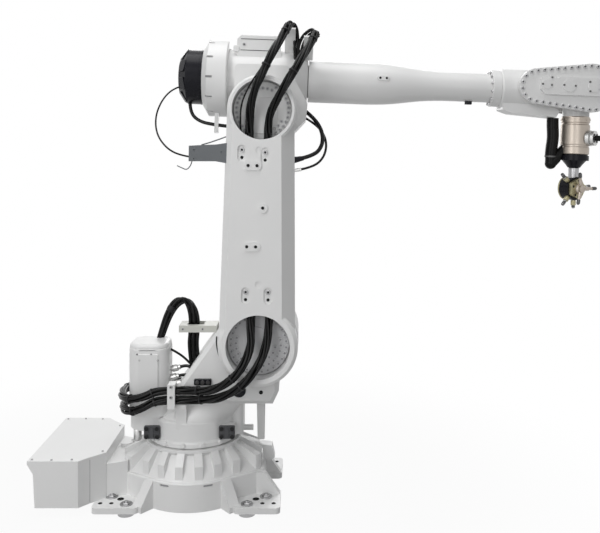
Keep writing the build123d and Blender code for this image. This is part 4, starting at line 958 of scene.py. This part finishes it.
# white plate on the upper disc: a light panel, and brighter than the grey lower plate as painted light in the
# shaded recess
upperSpot = [upperDisc + (discs["upperShift"][0], 0.0, discs["upperShift"][1])]
upperPlate = slab(*discs["upperPlate"])
addStamps("upper_disc_plate", "lower_arm", upperPlate, upperSpot, nearSide, onLower,
          whitePaint)
lowerSpot = [lowerDisc + (discs["lowerShift"][0], 0.0, discs["lowerShift"][1])]
lowerPlate = disc(*discs["lowerPlate"])
addStamps("lower_disc_plate", "lower_arm", lowerPlate, lowerSpot, nearSide, onLower,
          discPaint)

cableEnds = {  # lengths and radii where the side leads enter the lower arm
    "sunk": -0.004,
    "boot": 0.052,
    "bootRadius": (0.017, 0.011),
    "ferrule": 0.040,
    "ferruleRadius": 0.0085,
}


def endLine(line, length, count):  # straight line over a cable's last stretch, from inside its socket
    return line[-1] + np.outer(np.linspace(cableEnds["sunk"], length, count), unit(line[-3] - line[-1]))


boot = tube(endLine(thickLine, cableEnds["boot"], 8), np.linspace(*cableEnds["bootRadius"], 8), yAcross, 20)
addPiece("side_cable_boot", [boot], blackPlastic, "lower_arm")
ferrule = tube(endLine(thinLine, cableEnds["ferrule"], 6), cableEnds["ferruleRadius"], yAcross, 20)
addPiece("side_cable_ferrule", [ferrule], machined, "lower_arm")

cableBox = {  # measured from axis 3 along the lower arm
    "stay": [(-0.290, -0.262, -0.172), (-0.250, -0.262, -0.160), (-0.200, -0.262, -0.142),
             (-0.160, -0.262, -0.126)],
    "stayRadius": 0.003,
    "screws": [(-0.320, -0.310, -0.195), (-0.320, -0.310, -0.238), (-0.190, -0.310, -0.205)],
    "screw": (0.005, 0.003),
}
armTop = np.array([0.0, 0.0, lowerLength])
stay = tube(np.array(cableBox["stay"]) + armTop, cableBox["stayRadius"], yAcross, 8)
addPiece("cable_box_stay", [onLower(stay)], greySheet, "lower_arm")
boxScrews = np.array(cableBox["screws"]) + armTop
screwSet("cable_box_screws", "lower_arm", boxScrews, nearSide, cableBox["screw"], onLower, greySheet)

# upper arm: painted shade in the ring slots, rear motor, top cover with painted seam shade, bracket loops
ring = {  # slotted ring, measured from axis 3 along the upper arm
    "slots": 12,
    "start": 4.0,
    "slot": (0.034, 0.0098, 0.002, 0.0025, 0.0004),
    "radius": 0.1871,
    "x": -0.275,
    "rise": 0.173,
}
ringMiddle = np.array([ring["x"], 0.0, ring["rise"]])
ringAxes = spokes(-evenTurn(ring["slots"], ring["start"]), 2, 1)
ringSlotShade = slab(*ring["slot"])
ringPlaces = ring["radius"] * ringAxes + ringMiddle
addStamps("ring_slot_shadows", "upper_arm", ringSlotShade, ringPlaces, ringAxes, onUpper,
          palePaintedShade)

rearMotor = {
    "count": 8,
    "end": (-0.434, 0.0, ring["rise"]),
    "boltCircle": 0.080,
    "bolt": (0.008, 0.006),
    "plate": (0.088, 0.006, 0.003, 48),
    "facet": (0.046, 0.062, 0.006, 0.004, 0.002),
    "facetMiddle": (-0.416, 0.0, ring["rise"]),
    "facetCircle": 0.116,
    "facetSlope": (36.0, 46.0),  # outward and rearward parts of a facet's direction
    "collar": (0.1405, 0.008, 0.002, 64),
    "collarPlace": (-0.326, 0.0, ring["rise"]),
}
spoke = spokes(evenTurn(rearMotor["count"], 180.0 / rearMotor["count"]), 1, 2)
rearBolts = rearMotor["boltCircle"] * spoke + rearMotor["end"]
screwSet("rear_motor_bolts", "upper_arm", rearBolts, rearward, rearMotor["bolt"], onUpper, screwDark)
facetAxes = rearMotor["facetSlope"][0] * spoke + rearMotor["facetSlope"][1] * np.array(rearward)
facetPlaces = rearMotor["facetCircle"] * spoke + rearMotor["facetMiddle"]
facets = stamped(slab(*rearMotor["facet"]), facetPlaces, facetAxes)
motorCollar = stamped(disc(*rearMotor["collar"]), [rearMotor["collarPlace"]], rearward)
facetParts = [onUpper(facets), onUpper(motorCollar)]
addPiece("rear_motor_facets", facetParts, blackPlastic, "upper_arm")
endPlate = disc(*rearMotor["plate"])
addStamps("rear_motor_plate", "upper_arm", endPlate, [rearMotor["end"]], rearward, onUpper,
          blackPlastic)

topCover = {  # heights from the middle of the slotted ring
    "lid": (0.196, 0.212, 0.010, 0.007, 0.002),
    "lidPlace": (-0.036, 0.0, 0.204),
    "face": -0.110,
    "seam": (0.190, 0.003, 0.001, 0.0015, 0.0005),
    "seamX": -0.034,
    "seamZ": (0.134, 0.190),
    "screw": (0.008, 0.006),
    "screwX": (-0.112, 0.055),
    "screwZ": 0.162,
    "lug": (0.030, 0.034, 0.010, 0.020, 0.003),
    "lugPlace": (-0.150, -0.095, 0.140),
}
ringRise = np.array([0.0, 0.0, ring["rise"]])
lidPlate = slab(*topCover["lid"])
lidPlace = [ringRise + topCover["lidPlace"]]
addStamps("top_lid", "upper_arm", lidPlate, lidPlace, upward, onUpper, whitePaint)
# dark strips along the cover seams: painted shade in the gaps
coverSeamShade = slab(*topCover["seam"])
seamPlaces = [ringRise + (topCover["seamX"], topCover["face"], z) for z in topCover["seamZ"]]
addStamps("top_cover_seams", "upper_arm", coverSeamShade, seamPlaces, nearSide, onUpper, paintedRecessShade)
coverScrews = [ringRise + (x, topCover["face"], topCover["screwZ"]) for x in topCover["screwX"]]
screwSet("top_cover_screws", "upper_arm", coverScrews, nearSide, topCover["screw"], onUpper, screwSteel)
coverLug = slab(*topCover["lug"])
lugPlace = [ringRise + topCover["lugPlace"]]
addStamps("cover_lug", "upper_arm", coverLug, lugPlace, nearSide, onUpper, whitePaint)

loops = {  # two cables over each harness bracket, measured from axis 3
    "left": [(0.126, -0.192, 0.414), (0.128, -0.180, 0.440), (0.146, -0.158, 0.442), (0.160, -0.130, 0.396),
             (0.163, -0.106, 0.240)],
    "right": [(0.258, -0.192, 0.374), (0.256, -0.182, 0.400), (0.236, -0.164, 0.404), (0.196, -0.136, 0.374),
              (0.172, -0.110, 0.310), (0.168, -0.094, 0.238)],
    "shifts": [(-0.006, 0.0, 0.0), (0.011, 0.005, -0.009)],
    "radius": 0.0085,
    "across": (1.0, 0.4, 0.2),
}
loopParts = []
for shift in loops["shifts"]:
    for way in (loops["left"], loops["right"]):
        line = routeLine((np.array(way) + axis3 + shift).tolist(), 36)
        loopParts.append(tube(line, loops["radius"], np.array(loops["across"]), 12))
addPiece("bracket_loops", loopParts, cableSheath, "upper_arm")
print("arm dressed")

# far side: lids, bands, screws and connectors on the axis 2 and axis 3 motors
farMotor = {  # lid profile as shares of the motor's radius, with heights in metres
    "lid": [(0, -0.002), (0.80, -0.002), (0.80, 0.006), (0.76, 0.010), (0.3, 0.010), (0.26, 0.016),
            (0, 0.016)],
    "bandProud": 0.004,
    "band": (0.020, 0.002, 0.004, 64),
    "bandBack": (0.060, 0.150),
    "screws": 6,
    "screwShare": 0.68,
    "screw": (0.006, 0.005),
    "screwUp": 0.010,
    "connector": (0.050, 0.060, 0.008, 0.034, 0.004),
    "connectorBack": 0.105,
    "connectorSunk": 0.004,
}


def dressFarMotor(name, body, axis):  # lid, two bands, screws and a connector at a motor's far end
    low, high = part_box(name)
    radius = 0.5 * (high.z - low.z)
    end = np.array([axis[0], high.y, axis[2]])
    lid = lathe([(share * radius, height) for share, height in farMotor["lid"]], 48)
    band = barrel(radius + farMotor["bandProud"], *farMotor["band"])
    bands = stamped(band, [end - (0.0, back, 0.0) for back in farMotor["bandBack"]], farSide)
    addPiece(name + "_lid", [stamped(lid, [end], farSide), bands], whitePaint, body)
    turns = evenTurn(farMotor["screws"], 180.0 / farMotor["screws"])
    screws = end + farMotor["screwShare"] * radius * spokes(turns, 0, 2) + (0.0, farMotor["screwUp"], 0.0)
    screwSet(name + "_screws", body, screws, farSide, farMotor["screw"], asIs, screwSteel)
    connector = slab(*farMotor["connector"])
    place = [end + (0.0, -farMotor["connectorBack"], radius - farMotor["connectorSunk"])]
    addStamps(name + "_connector", body, connector, place, upward, asIs, blackPlastic)


dressFarMotor("axis2_motor", "turntable", axis2)
dressFarMotor("axis3_motor", "upper_arm", axis3)

# arm tube: pad with painted hole shade, clip, flange bolts, cover bolts and cap screws
armTube = {  # places measured from axis 5 along the arm tube
    "pad": (0.064, 0.030, 0.015, 0.010, 0.003),
    "padPlace": (-1.008, -0.101, 0.021),
    "padHole": (0.006, 0.0008, 0.0002, 16),
    "padHoles": [(-1.024, -0.1112, 0.021), (-0.992, -0.1112, 0.021)],
    "clip": (0.036, 0.024, 0.004, 0.016, 0.003),
    "clipPlace": (-0.559, -0.010, -0.072),
    "flangeBolts": 12,
    "flangeCircle": 0.082,
    "flangeX": -0.450,
    "flangeBolt": (0.0075, 0.008),
}
tubePad = slab(*armTube["pad"])
padPlace = [armTube["padPlace"]]
addStamps("tube_pad", "arm_tube", tubePad, padPlace, nearSide, onWrist, whitePaint)
# dark discs on the pad: painted shade of its two holes
padHole = disc(*armTube["padHole"])
padHoles = armTube["padHoles"]
addStamps("tube_pad_holes", "arm_tube", padHole, padHoles, nearSide, onWrist, paintedRecessShade)
tubeClip = slab(*armTube["clip"])
clipPlace = [armTube["clipPlace"]]
addStamps("tube_clip", "arm_tube", tubeClip, clipPlace, downward, onWrist, blackPlastic)
flangeTurn = evenTurn(armTube["flangeBolts"], 180.0 / armTube["flangeBolts"])
flangeBolts = armTube["flangeCircle"] * spokes(flangeTurn, 1, 2) + (armTube["flangeX"], 0.0, 0.0)
# the flange bolt wells are floored with damper grey as painted shade
screwSet("flange_bolts", "arm_tube", flangeBolts, rearward, armTube["flangeBolt"], onWrist, screwSteel,
         inside=damperGreyAndWellShade)

cover = {  # outline of a side cover: a big and a small circle
    "big": 0.109,
    "bigX": 0.030,
    "small": 0.076,
    "smallX": -0.243,
    "lift": 0.008,
    "face": 0.136,
    "bolts": 34,
    "bolt": (0.0095, 0.006),
    "caps": [(-0.222, 0.018), (-0.178, 0.014), (-0.116, 0.016), (-0.060, 0.014), (0.012, 0.036),
             (0.014, -0.010), (-0.176, 0.052)],
    "capProud": 0.0125,
    "cap": (0.005, 0.004, 0.0004, 16),
}


def coverRim(count):  # even points on the outline of two circles joined by tangents, in x and z
    touch = math.acos((cover["small"] - cover["big"]) / (cover["bigX"] - cover["smallX"]))
    front = np.linspace(-touch, touch, 80)
    rear = np.linspace(touch, 2 * np.pi - touch, 80)
    x = np.r_[cover["bigX"] + cover["big"] * np.cos(front), cover["smallX"] + cover["small"] * np.cos(rear)]
    z = np.r_[cover["big"] * np.sin(front), cover["small"] * np.sin(rear)] + cover["lift"]
    rim = np.stack([x, z], -1)
    return evenPoints(np.concatenate([rim, rim[:1]]), count, endpoint=False)


coverCap = disc(*cover["cap"])
rimSpots = coverRim(cover["bolts"])
for side, label in ((-1, "near"), (1, "far")):
    facing = (0, side, 0)
    rimBolts = [(x, side * cover["face"], z) for x, z in rimSpots]
    # the cover bolt wells are floored with damper grey as painted shade
    screwSet(label + "_cover_bolts", "arm_tube", rimBolts, facing, cover["bolt"], onWrist, screwSteel,
             inside=damperGreyAndWellShade)
    caps = [(x, side * (cover["face"] + cover["capProud"]), z) for x, z in cover["caps"]]
    addStamps(label + "_cap_screws", "arm_tube", coverCap, caps, facing, onWrist, screwDark)

# wrist: side fitting, swivel screws, seal and hose clamp
fitting = {  # side fitting of the swivel, turned about the wrist's upright line
    "turn": -42.0,
    "reach": 0.106,
    "height": -0.239,
    "screwTurns": (45, 135, 225, 315),
    "screwCircle": 0.025,
    "screw": (0.005, 0.004),
    "stub": (0.0142, 0.044, 0.003, 24),
}
outward, across = spokes([fitting["turn"], fitting["turn"] + 90.0], 0, 1)
fitFace = fitting["reach"] * outward + (0.0, 0.0, fitting["height"])
fitSpokes = spokes(fitting["screwTurns"], 0, 1)
fitScrews = fitFace + fitting["screwCircle"] * (fitSpokes[:, :1] * across + fitSpokes[:, 1:2] * zAcross)
screwSet("fitting_screws", "wrist", fitScrews, outward, fitting["screw"], onWrist, screwDark)

swivel = {
    "screws": 12,
    "screw": (0.005, 0.003),
    "radius": 0.0705,
    "screwZ": -0.146,
    "seal": (0.0425, 0.066, 0.0046, 64),
    "sealZ": -0.3277,
}
swivelAxes = spokes(evenTurn(swivel["screws"]), 0, 1)
swivelPlaces = swivel["radius"] * swivelAxes + (0.0, 0.0, swivel["screwZ"])
swivelScrew = disc(*swivel["screw"])
addStamps("swivel_screws", "wrist", swivelScrew, swivelPlaces, swivelAxes, onWrist, swivelMetal)
swivelSeal = ringBand(*swivel["seal"])  # closes the view into the axis 6 seam
sealPlace = [(0.0, 0.0, swivel["sealZ"])]
addStamps("swivel_seal", "wrist", swivelSeal, sealPlace, upward, onWrist, blackPlastic)
hoseClamp = cableTie(hosePath, 1.0, hose["clampWidth"], hose["clampRadius"])
addPiece("hose_clamp", [hoseClamp], screwDark, "wrist")
fitStub = disc(*fitting["stub"])
addStamps("fitting_stub", "wrist", fitStub, [fitFace], outward, onWrist, hoseRubber)

# tool head: painted shade of the plate holes, hub with pins, rod sleeves and tips, ring at the back of the
# drum
head = {  # places and directions are (right, out, rise) in the head's own frame
    "turn": 32.0,
    "middle": (0.0, 0.0, -0.498),
    "holeTurns": (20, 92, 164, 236, 308),
    "holeCircle": 0.040,
    "holeOut": 0.0342,
    "hole": (0.006, 0.001, 0.0003, 16),
    "hub": [(0, -0.002), (0.027, -0.002), (0.027, 0.008), (0.020, 0.014), (0.020, 0.026), (0.012, 0.031),
            (0, 0.031)],
    "hubOut": 0.034,
    "pin": [(0, 0), (0.0105, 0), (0.0105, 0.034), (0.0075, 0.038), (0.0075, 0.062), (0, 0.062)],
    "pins": [
        ((0.0, 0.046, 0.012), (-0.45, 0.28, 0.86)),
        ((0.0, 0.046, -0.014), (-0.55, 0.28, -0.78)),
        ((0.014, 0.046, 0.0), (0.92, 0.34, 0.06)),
    ],
    "tip": [(0, 0), (0.009, 0), (0.009, 0.018), (0.006, 0.024), (0, 0.024)],
    "pinTip": 0.056,
    "rods": [(142.0, 0.116), (226.0, 0.116), (272.0, 0.100), (6.0, 0.128)],  # angle and reach
    "rodOut": 0.003,
    "rodTip": 0.022,
    "sleeve": (0.013, 0.025, 0.001, 0.003, 16),
    "sleeveReach": 0.061,
    "backRing": [(0, 0.002), (0.046, 0.002), (0.046, 0), (0.059, 0), (0.060, 0.002), (0.060, 0.007),
                 (0.046, 0.007), (0.046, 0.003), (0, 0.003)],
    "backOut": -0.040,
}
headRight, headOut = spokes([head["turn"], head["turn"] - 90.0], 0, 1)


def alongHead(right, out, rise):  # direction of the tool head's own frame
    return right * headRight + out * headOut + rise * zAcross


def onHead(right, out, rise):  # place in the tool head's own frame
    return alongHead(right, out, rise) + head["middle"]


def onHeadCircle(degrees, radius, out):  # place on a circle that faces out of the head
    turn = math.radians(degrees)
    return onHead(radius * math.cos(turn), out, radius * math.sin(turn))


# dark discs on the plate: painted shade of its holes
plateHole = disc(*head["hole"])
plateHoles = [onHeadCircle(turn, head["holeCircle"], head["holeOut"]) for turn in head["holeTurns"]]
addStamps("plate_holes", "tool_head", plateHole, plateHoles, headOut, onWrist, paintedRecessShade)
pin = lathe(head["pin"])
tip = lathe(head["tip"])
sleeve = barrel(*head["sleeve"])
hubParts = [stamped(lathe(head["hub"], 24), [onHead(0.0, head["hubOut"], 0.0)], headOut)]
tips = []
for place, way in head["pins"]:
    facing = alongHead(*way)
    hubParts.append(stamped(pin, [onHead(*place)], facing))
    tips.append(stamped(tip, [onHead(*place) + head["pinTip"] * unit(facing)], facing))
addPiece("plate_hub", [onWrist(part) for part in hubParts], swivelMetal, "tool_head")
sleeves = []
for turn, reach in head["rods"]:
    facing = alongHead(math.cos(math.radians(turn)), 0.0, math.sin(math.radians(turn)))
    sleeves.append(stamped(sleeve, [onHeadCircle(turn, head["sleeveReach"], head["rodOut"])], facing))
    tips.append(stamped(tip, [onHeadCircle(turn, reach - head["rodTip"], head["rodOut"])], facing))
addPiece("rod_sleeves", [onWrist(part) for part in sleeves], brassDull, "tool_head")
addPiece("rod_tips", [onWrist(part) for part in tips], screwDark, "tool_head")
backRing = lathe(head["backRing"], 40)
backPlace = [onHead(0.0, head["backOut"], 0.0)]
addStamps("drum_back_ring", "tool_head", backRing, backPlace, -headOut, onWrist, brassDull)
print("wrist and tool dressed")

camera = {"place": (0.545, -3.9, 1.70), "focal": 757.0, "horizon": 160.0, "wide": 600.0, "tall": 533.0}
lens = bpy.data.cameras.new("camera")
lens.sensor_width = 36.0
lens.lens = camera["focal"] * lens.sensor_width / camera["wide"]
lens.shift_y = -(camera["tall"] / 2 - camera["horizon"]) / camera["wide"]
eye = bpy.data.objects.new("camera", lens)
eye.location = camera["place"]
eye.rotation_euler = (math.radians(90.0), 0.0, 0.0)  # level, looking along +Y
bpy.context.scene.collection.objects.link(eye)
bpy.context.scene.camera = eye
bpy.context.scene.view_settings.view_transform = "Standard"

studio = {
    "sky": (0.97, 0.985, 1.0, 1.0),
    "ambient": 0.205,
    "white": (1.0, 1.0, 1.0, 1.0),
    "floorHalf": 30.0,
    "floorTone": 0.38,
    "floorGlow": 0.945,  # share of plain white under the part, which rises to 1 further out
    "glowFrom": 1.0,
    "glowTo": 2.6,
}


def seenDirectly(tree):  # 1 for camera, mirror and glass rays
    start = Wire(tree)
    eyeRay = start.node("LightPath", out="Is Camera Ray")
    mirrorRay = start.node("LightPath", out="Is Glossy Ray")
    glassRay = start.node("LightPath", out="Is Transmission Ray")
    return start.maths("MAXIMUM", start.maths("MAXIMUM", eyeRay, mirrorRay), glassRay)


def studioWorld():  # dim light from all round, which looks plain white where it is seen
    world = bpy.data.worlds.new("studio")
    world.use_nodes = True
    world.node_tree.nodes.clear()
    seen = seenDirectly(world.node_tree)
    dim = seen.node("Background", None, {"Color": studio["sky"], "Strength": studio["ambient"]})
    white = seen.node("Background", None, {"Color": studio["white"], "Strength": 1.0})
    mixed = seen.node("MixShader", None, {0: seen, 1: dim, 2: white})
    mixed.node("OutputWorld", None, {"Surface": mixed})
    return world


def floorFinish():  # matte floor that takes the shadow, mostly white to the eye
    made = bpy.data.materials.new("pale floor")
    made.use_nodes = True
    made.node_tree.nodes.clear()
    seen = seenDirectly(made.node_tree)
    matte = seen.node("BsdfDiffuse", None, {"Color": (*grey(studio["floorTone"]), 1.0)})
    glow = seen.node("Emission", None, {"Color": studio["white"], "Strength": 1.0})
    place = seen.node("TexCoord", out="Object")
    away = seen.node("VectorMath", {"operation": "LENGTH"}, {0: place}, out=1)
    away = away.band(studio["glowFrom"], studio["glowTo"])
    share = studio["floorGlow"] + (1.0 - studio["floorGlow"]) * away
    mixed = seen.node("MixShader", None, {0: share * seen, 1: matte, 2: glow})
    mixed.node("OutputMaterial", None, {"Surface": mixed})
    return made


bpy.context.scene.world = studioWorld()
floorCorners = studio["floorHalf"] * np.array([(-1, -1, 0), (1, -1, 0), (1, 1, 0), (-1, 1, 0)], float)
floor = makeMesh("floor", [(floorCorners, np.array([[0, 1, 2, 3]]))], floorFinish())

lamps = [  # name, place, aim, size, watts
    ("key", (-2.6, -4.6, 4.6), (0.5, 0.0, 1.2), 3.2, 104.0),
    ("top", (-0.2, -1.0, 9.0), (0.2, 0.0, 1.0), 6.0, 335.0),
    ("fill", (1.6, -5.6, 2.3), (0.5, 0.0, 1.3), 2.8, 34.0),
    ("low", (-2.4, -4.4, 1.5), (-0.1, 0.0, 0.5), 2.6, 38.0),
    ("back", (0.5, 4.5, 3.5), (0.5, 0.0, 1.2), 3.5, 95.0),
]
for name, place, aim, size, watts in lamps:
    lamp = bpy.data.lights.new(name, "AREA")
    lamp.shape = "DISK"
    lamp.size = size
    lamp.energy = watts
    holder = bpy.data.objects.new(name, lamp)
    holder.location = place
    holder.rotation_euler = (Vector(aim) - Vector(place)).to_track_quat("-Z", "Y").to_euler()
    bpy.context.scene.collection.objects.link(holder)
print("camera and light set")
